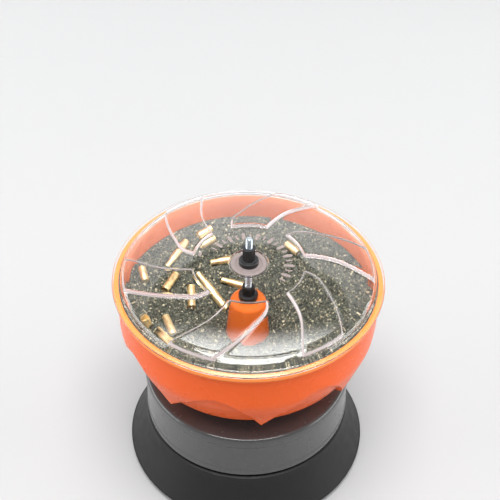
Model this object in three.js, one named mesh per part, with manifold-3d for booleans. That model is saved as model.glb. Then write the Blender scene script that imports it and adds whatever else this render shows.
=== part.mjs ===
// A bowl-type vibratory tumbler: an orange tub of polishing media with a clear vaned lid, clamped by one
// threaded rod to a motor housing that shakes on four springs above a flared base.
// Millimetres, +Z up, origin at the centre of the footprint, -Y is the front, the cord leaves at +Y.

import * as THREE from "three";
import Module from "manifold-3d";
import { mergeVertices } from "three/addons/utils/BufferGeometryUtils.js";

// ---- Driving dimensions -------------------------------------------------------------------------

const GAP = 0.3; // between pieces that touch

const LID_RADIUS = 150;
const RIM_Z = 265; // plane where the lid's flange meets the bowl's rim
const LID_THICKNESS = 2.2;
const HUB_RISE = 19.5; // flat centre of the lid above the rim plane
const HUB_SINK = 2; // depth of the washer's seat in the lid's centre
const VANES = 6;
const VANE_HEIGHT = 3;
const VANE_INNER_RADIUS = 62;
const VANE_OUTER_RADIUS = 137;

const BOWL_WALL = 3;
const BOWL_FLOOR_Z = 136; // underside of the bowl
const CONE_TOP_Z = 231; // top of the bowl's centre cone
const SCALLOPS = 8;
const SCALLOP_PEAK_AZIMUTH = -103.5; // degrees, of the first scallop's highest point
const SCALLOP_TOP_DROP = 46; // highest point of a scallop below the rim plane
const SCALLOP_EDGE = 6; // height over which a scallop steps in

const MEDIA_EDGE_Z = 232;
const MEDIA_CENTRE_Z = 180;
const MEDIA_RADIUS = 140.9;
const CONE_RADIUS_AT_MEDIA = 24.5;

const ROD_RADIUS = 4;
const ROD_BOTTOM_Z = 114;
const ROD_TOP_Z = 320;
const ROD_HOLE = ROD_RADIUS + GAP;

const HOUSING_RADIUS = 120.5;
const HOUSING_TOP_Z = 128;
const HOUSING_BOTTOM_Z = 67;
const HOUSING_WALL = 1.8;

const BASE_TOP_Z = 62; // deck that the springs stand on
const BASE_BOTTOM_Z = 8;
const BASE_RADIUS = 143;
const DECK_HOLE_RADIUS = 72;

const SPRINGS = 4;
const SPRING_CIRCLE = 97;
const SPRING_RADIUS = 9;
const SPRING_WIRE = 1.3;
const SPRING_TURNS = 4;

const FOOT_CIRCLE = 126;
const FOOT_RADIUS = 11;
const FOOT_HEIGHT = 5.2;

const MOTOR_RADIUS = 50;
const MOTOR_TOP_Z = 108;
const MOTOR_BOTTOM_Z = 40;
const STATOR_TOP_Z = 86;
const STATOR_BOTTOM_Z = 62.3;
const BOLT_CIRCLE = 42;
const BOLT_RADIUS = 2.5;
const BEARING_RADIUS = 11;
const BEARING_WIDTH = 7;
const SHAFT_BOTTOM_Z = 14;

const BOSS_HALF_WIDTH = 36; // of the box at the back of the base that holds the switch
const BOSS_Y = 142;
const BOSS_TOP_Z = 48;
const SWITCH_X = -14;
const GLAND_X = 18;
const SWITCH_Z = 27;

const SMOOTH = 40; // sides of a large round
const ROUND = 18; // of a medium one
const SMALL = 10; // of a small one

const degrees = THREE.MathUtils.degToRad;

// ---- Finishes -------------------------------------------------------------------------------------

const finish = (color, roughness, metalness, more = {}) => ({ color, roughness, metalness, ...more });

const FINISHES = {
  clear: finish(0xf4f6f8, 0.08, 0, { transparent: true, opacity: 0.3 }),
  frosted: finish(0xcbbdb4, 0.5, 0, { transparent: true, opacity: 0.7 }),
  orange: finish(0xd9561f, 0.35, 0),
  media: finish(0x6f6a58, 0.9, 0),
  brassCase: finish(0xd9b878, 0.25, 1),
  zinc: finish(0x9fb0bc, 0.35, 1),
  blackPlastic: finish(0x1b1b1d, 0.45, 0),
  housingPaint: finish(0x55575a, 0.4, 0.2),
  basePlastic: finish(0x232325, 0.5, 0),
  rubber: finish(0x161616, 0.85, 0),
  steel: finish(0x8c8f92, 0.4, 1),
  castAlloy: finish(0x9a9c9e, 0.55, 0.9),
  laminations: finish(0x5c6064, 0.5, 0.9),
  copper: finish(0xa85a2c, 0.4, 0.6),
  castIron: finish(0x3c3c3e, 0.7, 0.7),
  fanPlastic: finish(0x3a4048, 0.5, 0),
  switchRed: finish(0xb01c18, 0.35, 0),
};

// ---- Geometry helpers -----------------------------------------------------------------------------

const wasm = await Module();
wasm.setup();

// Shared vertices merged, slivers dropped and all faces turned outwards.
function closed(geometry) {
  const bare = geometry.clone();
  bare.deleteAttribute("normal");
  bare.deleteAttribute("uv");
  const merged = mergeVertices(bare, 1e-3);
  const source = merged.index.array;
  const triangles = [];
  for (let i = 0; i < source.length; i += 3) {
    const [a, b, c] = [source[i], source[i + 1], source[i + 2]];
    if (a !== b && b !== c && c !== a) triangles.push(a, b, c);
  }
  merged.setIndex(triangles);
  return volume(merged) < 0 ? reversed(merged) : merged;
}

function volume(geometry) {
  const position = geometry.attributes.position;
  const [a, b, c] = [new THREE.Vector3(), new THREE.Vector3(), new THREE.Vector3()];
  let sum = 0;
  for (let i = 0; i < geometry.index.count; i += 3) {
    a.fromBufferAttribute(position, geometry.index.getX(i));
    b.fromBufferAttribute(position, geometry.index.getX(i + 1));
    c.fromBufferAttribute(position, geometry.index.getX(i + 2));
    sum += a.dot(b.cross(c));
  }
  return sum / 6;
}

function reversed(geometry) {
  const index = geometry.index.array;
  for (let i = 0; i < index.length; i += 3) [index[i + 1], index[i + 2]] = [index[i + 2], index[i + 1]];
  return geometry;
}

function solid(geometry) {
  const ready = closed(geometry);
  return new wasm.Manifold(
    new wasm.Mesh({
      numProp: 3,
      vertProperties: ready.attributes.position.array,
      triVerts: new Uint32Array(ready.index.array),
    }),
  );
}

function fromSolid(manifold) {
  const mesh = manifold.getMesh();
  const geometry = new THREE.BufferGeometry();
  geometry.setAttribute("position", new THREE.BufferAttribute(new Float32Array(mesh.vertProperties), 3));
  geometry.setIndex(Array.from(mesh.triVerts));
  return geometry;
}

function cut(geometry, tools) {
  return fromSolid(tools.reduce((left, tool) => left.subtract(solid(tool)), solid(geometry)));
}

function join(geometry, others) {
  return fromSolid(others.reduce((sum, other) => sum.add(solid(other)), solid(geometry)));
}

// A solid of revolution about Z from an outline of [radius, height] points. An outline that doesn't
// start and end on the axis is closed on itself.
function turned(outline, segments) {
  const onAxis = outline[0][0] === 0 && outline[outline.length - 1][0] === 0;
  const points = (onAxis ? outline : [...outline, outline[0]]).map(([r, z]) => new THREE.Vector2(r, z));
  return closed(new THREE.LatheGeometry(points, segments).rotateX(Math.PI / 2));
}

const disc = (radius, z0, z1, segments) => turned([[0, z0], [radius, z0], [radius, z1], [0, z1]], segments);

const ring = (inner, outer, z0, z1, segments) =>
  turned([[inner, z0], [outer, z0], [outer, z1], [inner, z1]], segments);

const box = (x0, x1, y0, y1, z0, z1) =>
  new THREE.BoxGeometry(x1 - x0, y1 - y0, z1 - z0).translate((x0 + x1) / 2, (y0 + y1) / 2, (z0 + z1) / 2);

// A shape drawn in the XY plane, pulled up from z0 to z1.
const slab = (shape, z0, z1, curveSegments = SMALL) =>
  new THREE.ExtrudeGeometry(shape, { depth: z1 - z0, bevelEnabled: false, curveSegments }).translate(0, 0, z0);

const polar = (radius, azimuth) => [radius * Math.cos(degrees(azimuth)), radius * Math.sin(degrees(azimuth))];

const around = (count, first = 0) => Array.from({ length: count }, (_, i) => first + (360 * i) / count);

const moved = (geometry, [x, y], z = 0) => geometry.clone().translate(x, y, z);

// Straight-line interpolation in a list of [input, output] pairs with rising inputs.
function between(pairs, input) {
  const last = pairs.length - 1;
  if (input <= pairs[0][0]) return pairs[0][1];
  if (input >= pairs[last][0]) return pairs[last][1];
  const i = pairs.findIndex(([x]) => x > input) - 1;
  const share = (input - pairs[i][0]) / (pairs[i + 1][0] - pairs[i][0]);
  return THREE.MathUtils.lerp(pairs[i][1], pairs[i + 1][1], share);
}

// A closed skin of `rings` turns of `columns` points each, the last turn joined to the first. The turns
// before `turnBack` run along one face of a wall and the rest back along the other, so the quads there
// are split along the other diagonal and the two faces stay parallel.
function skin(rings, columns, turnBack, pointAt) {
  const positions = [];
  const index = [];
  for (let i = 0; i < rings; i++)
    for (let j = 0; j < columns; j++) {
      positions.push(...pointAt(i, j));
      const [a, b] = [i * columns + j, i * columns + ((j + 1) % columns)];
      const next = ((i + 1) % rings) * columns;
      const [c, d] = [next + j, next + ((j + 1) % columns)];
      if (i < turnBack) index.push(a, c, b, b, c, d);
      else index.push(a, c, d, a, d, b);
    }
  const geometry = new THREE.BufferGeometry();
  geometry.setAttribute("position", new THREE.Float32BufferAttribute(positions, 3));
  geometry.setIndex(index);
  return geometry;
}

// ---- The assembly ---------------------------------------------------------------------------------

const tumbler = new THREE.Group();

function add(name, geometry, look) {
  const { transparent, opacity, ...rest } = FINISHES[look];
  const material = new THREE.MeshStandardMaterial(rest);
  if (transparent) Object.assign(material, { transparent, opacity });
  const mesh = new THREE.Mesh(closed(geometry), material);
  mesh.name = name;
  tumbler.add(mesh);
  return mesh;
}

// ---- Lid: a flange, a low wall and a dome with six spiral raised vanes -----------------------------

// Height of the dome's upper face above the rim plane, by radius.
const DOME = [
  [ROD_HOLE, HUB_RISE - HUB_SINK],
  [20.4, HUB_RISE - HUB_SINK],
  [22.2, HUB_RISE],
  [VANE_INNER_RADIUS, HUB_RISE],
  [100, 16.5],
  [125, 12.5],
  [134, 10],
  [138, 7.3],
  [140.3, 3.4],
  [141.8, 1.2],
  [LID_RADIUS, 1.2],
];

// Azimuth of a vane's two sides from its own centre line, by radius: both sweep back towards the rim.
const VANE_LEADING = [[VANE_INNER_RADIUS, 18.3], [72, 16], [94, 3.5], [120, -8], [138, -15]];
const VANE_TRAILING = [[VANE_INNER_RADIUS, -18.3], [93, -24.5], [120, -32], [138, -36]];
const VANE_COLUMNS = 3;
const VANE_SLOPE_WIDTH = 1.2; // of the step at a vane's side

// Columns of one sector as { azimuth(radius), raised }, from one vane's trailing side to the next's.
function lidSector(centre) {
  const columns = [];
  const side = (pairs, shift, raised) =>
    columns.push({
      azimuth: (r) => centre + between(pairs, r) + THREE.MathUtils.radToDeg(shift / Math.max(r, 30)),
      raised,
    });
  const blend = (from, to, span, raised) => {
    for (let i = 1; i < VANE_COLUMNS; i++) {
      const share = i / VANE_COLUMNS;
      const azimuth = (r) =>
        centre + THREE.MathUtils.lerp(between(from, r), between(to, r) + span, share);
      columns.push({ azimuth, raised });
    }
  };
  side(VANE_TRAILING, -VANE_SLOPE_WIDTH / 2, 0);
  side(VANE_TRAILING, VANE_SLOPE_WIDTH / 2, 1);
  blend(VANE_TRAILING, VANE_LEADING, 0, 1);
  side(VANE_LEADING, -VANE_SLOPE_WIDTH / 2, 1);
  side(VANE_LEADING, VANE_SLOPE_WIDTH / 2, 0);
  blend(VANE_LEADING, VANE_TRAILING, 360 / VANES, 0);
  return columns;
}

function lidGeometry() {
  const rings = [ROD_HOLE, 20.4, 22.2, 61.4, 62.6, 94, 120, 136.4, 138, 141.8, LID_RADIUS];
  const columns = around(VANES, 30).flatMap(lidSector);
  const vaneAt = (r) => (r > VANE_INNER_RADIUS && r < VANE_OUTER_RADIUS ? VANE_HEIGHT : 0);
  const loop = [
    ...rings.map((r) => ({ r, drop: 0 })),
    ...rings.map((r) => ({ r, drop: LID_THICKNESS })).reverse(),
  ];
  return skin(loop.length, columns.length, rings.length, (i, j) => {
    const { r, drop } = loop[i];
    const { azimuth, raised } = columns[j];
    return [...polar(r, azimuth(r)), RIM_Z + between(DOME, r) + raised * vaneAt(r) - drop];
  });
}

add("lid", lidGeometry(), "clear");

// ---- Washers and the two flanged clamp nuts ---------------------------------------------------------

const NUT_FLANGE = { radius: 10.9, height: 5.7 };
const NUT_NECK_RADIUS = 7.1;
const LID_NUT_HEIGHT = 22.5;
const BOWL_NUT_HEIGHT = 16.5;

const clampNut = (z, height) =>
  turned(
    [
      [ROD_HOLE, z],
      [NUT_FLANGE.radius, z],
      [NUT_FLANGE.radius, z + NUT_FLANGE.height - 1.2],
      [NUT_FLANGE.radius - 1.2, z + NUT_FLANGE.height],
      [NUT_NECK_RADIUS, z + NUT_FLANGE.height],
      [NUT_NECK_RADIUS, z + height],
      [ROD_HOLE, z + height],
    ],
    ROUND,
  );

const LID_WASHER_Z = RIM_Z + HUB_RISE - HUB_SINK + GAP;
const LID_WASHER_THICKNESS = 1.6;
const BOWL_WASHER_THICKNESS = 1;

add("lid_washer", ring(ROD_HOLE, 19.7, LID_WASHER_Z, LID_WASHER_Z + LID_WASHER_THICKNESS, ROUND), "frosted");
add("lid_nut", clampNut(LID_WASHER_Z + LID_WASHER_THICKNESS + GAP, LID_NUT_HEIGHT), "blackPlastic");
add("bowl_washer", ring(ROD_HOLE, 10.4, CONE_TOP_Z + GAP, CONE_TOP_Z + GAP + BOWL_WASHER_THICKNESS, ROUND), "zinc");
add("bowl_nut", clampNut(CONE_TOP_Z + 2 * GAP + BOWL_WASHER_THICKNESS, BOWL_NUT_HEIGHT), "blackPlastic");

// ---- Bowl: rolled rim, tapering wall with saw-tooth scallops, floor and hollow centre cone -----------

// Outside of the plain wall as radius by depth below the rim plane.
const RIM_DROP = 1.3; // of the rim's top face, which clears the lid's flange
const WALL = [
  [RIM_DROP, 147.6],
  [8, 147.6],
  [12, 144.3],
  [46, 144.7],
  [52, 144.5],
  [60, 143.2],
  [76, 138.3],
  [95, 132.8],
  [110, 126.1],
  [124.5, 117],
];

// Outside of the wall at the back of a scallop, on the same scale.
const SCALLOP_BACK = [[46, 141], [60, 139], [75, 134], [88, 128.5], [98, 122], [108, 113.5], [118, 104], [129, 94]];

// Depth below the rim plane of a scallop's edge, by azimuth from its highest point: a long rise
// on one side and a short fall on the other.
const scallopEdge = (angle) =>
  angle < 0 ? SCALLOP_TOP_DROP + 66 * (-angle / 30) ** 1.5 : SCALLOP_TOP_DROP + 23 * (angle / 14) ** 2;

// How far the wall steps in at an azimuth and a depth below the rim plane.
function scallopDepth(azimuth, depth) {
  const full = between(WALL, depth) - between(SCALLOP_BACK, depth);
  const pitch = 360 / SCALLOPS;
  const local = THREE.MathUtils.euclideanModulo(azimuth - SCALLOP_PEAK_AZIMUTH, pitch);
  const inside = [local - 2 * pitch, local - pitch, local]
    .filter((angle) => angle > -34 && angle < 24)
    .map((angle) => THREE.MathUtils.smoothstep(depth - scallopEdge(angle), 0, SCALLOP_EDGE));
  return full * Math.max(0, ...inside);
}

const RIM_INNER_RADIUS = 142.6;
const COLUMNS_PER_SCALLOP = 7;
const FLOOR_RADIUS = 112;
const CONE_BASE_RADIUS = 30;
const SCALLOP_FADE = [70, 105]; // radii on the floor between which the scallops die out

function bowlGeometry() {
  const wallOutside = WALL.map(([depth, r]) => [r, RIM_Z - depth]);
  const wallInside = WALL.slice(3).map(([depth, r]) => [r - BOWL_WALL, RIM_Z - depth]);
  const floorTop = BOWL_FLOOR_Z + BOWL_WALL;
  const outline = [
    [ROD_HOLE, CONE_TOP_Z],
    [18, CONE_TOP_Z],
    [20.3, CONE_TOP_Z - 3],
    [CONE_RADIUS_AT_MEDIA, MEDIA_CENTRE_Z],
    [CONE_BASE_RADIUS, floorTop],
    [SCALLOP_FADE[0], floorTop],
    [FLOOR_RADIUS - 3, floorTop],
    ...wallInside.reverse(),
    [RIM_INNER_RADIUS, RIM_Z - RIM_DROP],
    ...wallOutside,
    [FLOOR_RADIUS, BOWL_FLOOR_Z],
    [SCALLOP_FADE[0], BOWL_FLOOR_Z],
    [CONE_BASE_RADIUS - BOWL_WALL, BOWL_FLOOR_Z],
    [CONE_RADIUS_AT_MEDIA - BOWL_WALL, MEDIA_CENTRE_Z],
    [17.3, CONE_TOP_Z - BOWL_WALL],
    [ROD_HOLE, CONE_TOP_Z - BOWL_WALL],
  ];
  const columns = COLUMNS_PER_SCALLOP * SCALLOPS;
  const rimRow = outline.findIndex(([, z]) => z === RIM_Z - RIM_DROP);
  return skin(outline.length, columns, rimRow, (i, j) => {
    const [r, z] = outline[i];
    const azimuth = SCALLOP_PEAK_AZIMUTH + (360 * j) / columns;
    const share = THREE.MathUtils.smoothstep(r, ...SCALLOP_FADE);
    return [...polar(r - share * scallopDepth(azimuth, RIM_Z - z), azimuth), z];
  });
}

add("bowl", bowlGeometry(), "orange");

// ---- Contents: a funnel of granular media with spent cases half sunk in its surface -----------------

const MEDIA_SLOPE = (MEDIA_EDGE_Z - MEDIA_CENTRE_Z) / (MEDIA_RADIUS - CONE_RADIUS_AT_MEDIA);
const mediaHeight = (r) => MEDIA_EDGE_Z - MEDIA_SLOPE * (MEDIA_RADIUS - r);

const CASE_SIDES = 8;
const CASE_WALL = 0.5;

// Cases stand along +Z from their heads; a bottleneck one narrows to its mouth.
function caseOutline({ length, radius, neck }, grow = 0) {
  const mouth = neck ?? radius;
  const body = neck ? [[radius + grow, length * 0.68], [mouth + grow, length * 0.8]] : [];
  const shell = [[0, -grow], [radius + grow, -grow], ...body, [mouth + grow, length + grow]];
  if (grow) return [...shell, [0, length + grow]];
  const depth = length * 0.2;
  return [...shell, [mouth - CASE_WALL, length], [mouth - CASE_WALL, length - depth], [0, length - depth]];
}

const RIFLE_LONG = { length: 54, radius: 5.2, neck: 3.6 };
const RIFLE_SHORT = { length: 45, radius: 4.8, neck: 3.2 };
const CARBINE = { length: 34, radius: 4.6, neck: 3.3 };
const REVOLVER = { length: 29, radius: 4.8 };
const PISTOL = { length: 19.5, radius: 4.9 };

// Where each case lies: distance and azimuth of its middle, and the way its mouth points.
const CASES = [
  { kind: RIFLE_LONG, at: [62, 134], heading: 134 },
  { kind: RIFLE_SHORT, at: [117, 137], heading: 242 },
  { kind: PISTOL, at: [127, 115], heading: 218 },
  { kind: PISTOL, at: [115, 115.5], heading: 219 },
  { kind: CARBINE, at: [89, 109], heading: 196 },
  { kind: PISTOL, at: [127, 162], heading: 107 },
  { kind: REVOLVER, at: [99, 156], heading: 247 },
  { kind: REVOLVER, at: [72, 156], heading: 274 },
  { kind: CARBINE, at: [60, 105], heading: 170 },
  { kind: REVOLVER, at: [91, 197], heading: 112 },
  { kind: CARBINE, at: [104, 210], heading: 121 },
  { kind: PISTOL, at: [118, 198], upright: true },
  { kind: PISTOL, at: [110, 62], heading: 135 },
];

// Turns and shifts a case from its own axis to its place on the slope.
function layCase(geometry, { kind, at, heading, upright }) {
  const [x, y] = polar(...at);
  const placed = geometry.clone().translate(0, 0, -kind.length / 2);
  const z = mediaHeight(at[0]);
  if (upright) return placed.translate(x, y, z - kind.length / 2 + 2);
  const rise = MEDIA_SLOPE * Math.cos(degrees(heading - at[1]));
  const direction = new THREE.Vector3(...polar(1, heading), rise).normalize();
  const turn = new THREE.Quaternion().setFromUnitVectors(new THREE.Vector3(0, 0, 1), direction);
  return placed.applyQuaternion(turn).translate(x, y, z + 1);
}

function mediaGeometry() {
  const heap = turned(
    [
      [CONE_BASE_RADIUS + 0.8, BOWL_FLOOR_Z + BOWL_WALL + 0.4],
      [79, BOWL_FLOOR_Z + BOWL_WALL + 0.4],
      [94, 155],
      [115.5, 177],
      [129.5, 205],
      [131.5, 214.5],
      [MEDIA_RADIUS, 223],
      [MEDIA_RADIUS, MEDIA_EDGE_Z],
      [CONE_RADIUS_AT_MEDIA + 0.5, MEDIA_CENTRE_Z],
    ],
    SMOOTH,
  );
  const beds = CASES.map((entry) => layCase(turned(caseOutline(entry.kind, 0.35), CASE_SIDES), entry));
  return cut(heap, beds);
}

add("polishing_media", mediaGeometry(), "media");
CASES.forEach((entry, i) => {
  const shape = turned(caseOutline(entry.kind), CASE_SIDES);
  add(`spent_case_${i + 1}`, layCase(shape, entry), "brassCase");
});

// ---- Centre rod and its lock nuts ---------------------------------------------------------------------

function hexNut(acrossFlats, z0, z1, holeRadius) {
  const hexagon = new THREE.Shape(around(6, 30).map((a) => new THREE.Vector2(...polar(acrossFlats / Math.sqrt(3), a))));
  hexagon.holes.push(new THREE.Path().absarc(0, 0, holeRadius, 0, 2 * Math.PI));
  return slab(hexagon, z0, z1);
}

const PLATE_THICKNESS = 2;
const LOCK_NUT = { acrossFlats: 13, height: 6.5 };
const plateBottom = HOUSING_TOP_Z - PLATE_THICKNESS;

add(
  "centre_rod",
  turned(
    [
      [0, ROD_BOTTOM_Z],
      [ROD_RADIUS, ROD_BOTTOM_Z],
      [ROD_RADIUS, ROD_TOP_Z - 1.2],
      [ROD_RADIUS - 1.2, ROD_TOP_Z],
      [0, ROD_TOP_Z],
    ],
    ROUND,
  ),
  "zinc",
);
add(
  "rod_nut_upper",
  hexNut(LOCK_NUT.acrossFlats, HOUSING_TOP_Z + GAP, HOUSING_TOP_Z + GAP + LOCK_NUT.height, ROD_HOLE),
  "zinc",
);
add("rod_nut_lower", hexNut(LOCK_NUT.acrossFlats, plateBottom - GAP - LOCK_NUT.height, plateBottom - GAP, ROD_HOLE), "zinc");
add("bowl_seat_ring", ring(62, 78, HOUSING_TOP_Z + GAP, BOWL_FLOOR_Z - GAP, SMOOTH), "rubber");

// ---- Motor housing: a drum with a flat top plate, hung over the base on springs -----------------------

const boltPlaces = around(4, 45).map((a) => polar(BOLT_CIRCLE, a));
const springPlaces = around(SPRINGS).map((a) => polar(SPRING_CIRCLE, a));
const PEG = { radius: 6, height: 8 };

function housingGeometry() {
  const inner = HOUSING_RADIUS - HOUSING_WALL;
  const drum = turned(
    [
      [ROD_HOLE, HOUSING_TOP_Z],
      [HOUSING_RADIUS - 3.5, HOUSING_TOP_Z],
      [HOUSING_RADIUS - 1, HOUSING_TOP_Z - 1],
      [HOUSING_RADIUS, HOUSING_TOP_Z - 3.5],
      [HOUSING_RADIUS, HOUSING_BOTTOM_Z],
      [inner, HOUSING_BOTTOM_Z],
      [inner, plateBottom - 2],
      [inner - 2, plateBottom],
      [ROD_HOLE, plateBottom],
    ],
    SMOOTH,
  );
  const peg = disc(PEG.radius, plateBottom - PEG.height, plateBottom + 1, SMALL);
  const hole = disc(BOLT_RADIUS + GAP, plateBottom - 1, HOUSING_TOP_Z + 1, SMALL);
  const pegged = join(drum, springPlaces.map((place) => moved(peg, place)));
  return cut(pegged, boltPlaces.map((place) => moved(hole, place)));
}

add("motor_housing", housingGeometry(), "housingPaint");

// ---- Suspension springs --------------------------------------------------------------------------------

class Helix extends THREE.Curve {
  constructor(radius, height, turns) {
    super();
    Object.assign(this, { radius, height, turns });
  }
  getPoint(t, target = new THREE.Vector3()) {
    const angle = 2 * Math.PI * this.turns * t;
    return target.set(this.radius * Math.cos(angle), this.radius * Math.sin(angle), this.height * t);
  }
}

const springBottom = BASE_TOP_Z + GAP;
const springTop = plateBottom - GAP;
const wireSection = new THREE.Shape(around(5).map((a) => new THREE.Vector2(...polar(SPRING_WIRE, a))));
const springShape = new THREE.ExtrudeGeometry(wireSection, {
  steps: 10 * SPRING_TURNS,
  bevelEnabled: false,
  extrudePath: new Helix(SPRING_RADIUS, springTop - springBottom - 3 * SPRING_WIRE, SPRING_TURNS),
});
springPlaces.forEach((place, i) =>
  add(`suspension_spring_${i + 1}`, moved(springShape, place, springBottom + 1.5 * SPRING_WIRE), "steel"),
);

// ---- Motor ------------------------------------------------------------------------------------------------

const bracketRim = MOTOR_RADIUS - 1.7;
const bearingSeat = BEARING_RADIUS + GAP;
const seatBoss = bearingSeat + 2.7;
const SEAT_DEPTH = 12;
const BRACKET_WALL = 4;

// End bracket with its flat face at z; `side` is +1 when the cup opens downwards, -1 when upwards.
const endBracket = (z, rimZ, side) =>
  turned(
    [
      [8, z],
      [MOTOR_RADIUS, z],
      [MOTOR_RADIUS, rimZ],
      [bracketRim, rimZ],
      [bracketRim, z - side * BRACKET_WALL],
      [seatBoss, z - side * BRACKET_WALL],
      [seatBoss, z - side * SEAT_DEPTH],
      [bearingSeat, z - side * SEAT_DEPTH],
      [bearingSeat, z - side * 3],
      [8, z - side * 3],
    ],
    ROUND,
  );

const boltHole = disc(BOLT_RADIUS + GAP, MOTOR_BOTTOM_Z - 5, HOUSING_TOP_Z, SMALL);
const boltHoles = boltPlaces.map((place) => moved(boltHole, place));
const post = disc(6, MOTOR_TOP_Z - 2, plateBottom - GAP, SMALL);
const posts = boltPlaces.map((place) => moved(post, place));

add("motor_bracket_upper", cut(join(endBracket(MOTOR_TOP_Z, STATOR_TOP_Z + GAP, 1), posts), boltHoles), "castAlloy");
add("motor_bracket_lower", cut(endBracket(MOTOR_BOTTOM_Z, STATOR_BOTTOM_Z - GAP, -1), boltHoles), "castAlloy");
add("stator", cut(ring(28, MOTOR_RADIUS, STATOR_BOTTOM_Z, STATOR_TOP_Z, ROUND), boltHoles), "laminations");

const COIL = { inner: 29.5, outer: 38.3, height: 11 };
const coilRing = (z) => {
  const [a, b] = [COIL.inner, COIL.outer];
  const top = z + COIL.height;
  return turned([[a, z], [b - 2, z], [b, z + 2], [b, top - 2], [b - 2, top], [a, top]], ROUND);
};
add("winding_upper", coilRing(STATOR_TOP_Z + GAP), "copper");
add("winding_lower", coilRing(STATOR_BOTTOM_Z - GAP - COIL.height), "copper");

const upperBearingZ = MOTOR_TOP_Z - 3 - GAP - BEARING_WIDTH;
const lowerBearingZ = MOTOR_BOTTOM_Z + 3 + GAP;
add("bearing_upper", ring(ROD_HOLE, BEARING_RADIUS, upperBearingZ, upperBearingZ + BEARING_WIDTH, ROUND), "steel");
add("bearing_lower", ring(ROD_HOLE, BEARING_RADIUS, lowerBearingZ, lowerBearingZ + BEARING_WIDTH, ROUND), "steel");
add("motor_shaft", disc(ROD_RADIUS, SHAFT_BOTTOM_Z, MOTOR_TOP_Z - 4, SMALL), "steel");
add("rotor_core", ring(ROD_HOLE, 27.4, STATOR_BOTTOM_Z + 0.5, STATOR_TOP_Z - 0.5, ROUND), "laminations");

const BOLT_HEAD = { radius: 4.6, height: 3.2 };
const boltShape = turned(
  [
    [0, MOTOR_BOTTOM_Z - 2],
    [BOLT_RADIUS, MOTOR_BOTTOM_Z - 2],
    [BOLT_RADIUS, HOUSING_TOP_Z + GAP],
    [BOLT_HEAD.radius, HOUSING_TOP_Z + GAP],
    [BOLT_HEAD.radius, HOUSING_TOP_Z + GAP + BOLT_HEAD.height - 0.8],
    [BOLT_HEAD.radius - 0.8, HOUSING_TOP_Z + GAP + BOLT_HEAD.height],
    [0, HOUSING_TOP_Z + GAP + BOLT_HEAD.height],
  ],
  SMALL,
);
boltPlaces.forEach((place, i) => add(`motor_bolt_${i + 1}`, moved(boltShape, place), "zinc"));

// ---- Fan and eccentric weight on the lower end of the shaft -------------------------------------------------

const FAN = { z: 30, height: 7, hubRadius: 10, plateRadius: 40, blades: 8 };

function fanGeometry() {
  const hub = turned(
    [
      [ROD_HOLE, FAN.z],
      [FAN.plateRadius, FAN.z],
      [FAN.plateRadius, FAN.z + 1.4],
      [FAN.hubRadius, FAN.z + 1.4],
      [FAN.hubRadius, FAN.z + FAN.height],
      [ROD_HOLE, FAN.z + FAN.height],
    ],
    ROUND,
  );
  const blade = box(FAN.hubRadius + 2, FAN.plateRadius - 0.5, -0.8, 0.8, FAN.z + 1, FAN.z + FAN.height);
  return join(hub, around(FAN.blades).map((a) => blade.clone().rotateZ(degrees(a))));
}

add("cooling_fan", fanGeometry(), "fanPlastic");

const WEIGHT = { z0: 16, z1: 27, radius: 42, hubRadius: 11, screwRadius: 2 };

function weightGeometry() {
  const half = new THREE.Shape();
  half.absarc(0, 0, WEIGHT.radius, degrees(100), degrees(260));
  half.absarc(0, 0, WEIGHT.hubRadius, degrees(260), degrees(460));
  half.closePath();
  const body = slab(half, WEIGHT.z0, WEIGHT.z1, 24);
  const bore = disc(ROD_HOLE, WEIGHT.z0 - 1, WEIGHT.z1 + 1, SMALL);
  return cut(body, [bore, weightScrew(WEIGHT.screwRadius + GAP, 0, WEIGHT.hubRadius + 2)]);
}

// The clamp screw lies along +X at mid height of the weight.
const weightScrew = (radius, x0, x1) =>
  disc(radius, x0, x1, 12).rotateY(Math.PI / 2).translate(0, 0, (WEIGHT.z0 + WEIGHT.z1) / 2);

add("eccentric_weight", weightGeometry(), "castIron");
add("weight_screw", weightScrew(WEIGHT.screwRadius, ROD_HOLE + 0.2, WEIGHT.hubRadius + 1.5), "zinc");

// ---- Base: flared shell with a deck, screw pillars and a switch box at the back -----------------------------

// Outside of the base as [radius, height], from the floor edge up to the deck.
const FLARE = [[BASE_RADIUS, BASE_BOTTOM_Z], [135, 24], [127.5, 40], [122, 54], [120.6, BASE_TOP_Z]];
const SHELL_WALL = 3;
const DECK_THICKNESS = 3;
const footPlaces = around(4, 45).map((a) => polar(FOOT_CIRCLE, a));
const SCREW_RADIUS = 2;

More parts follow.
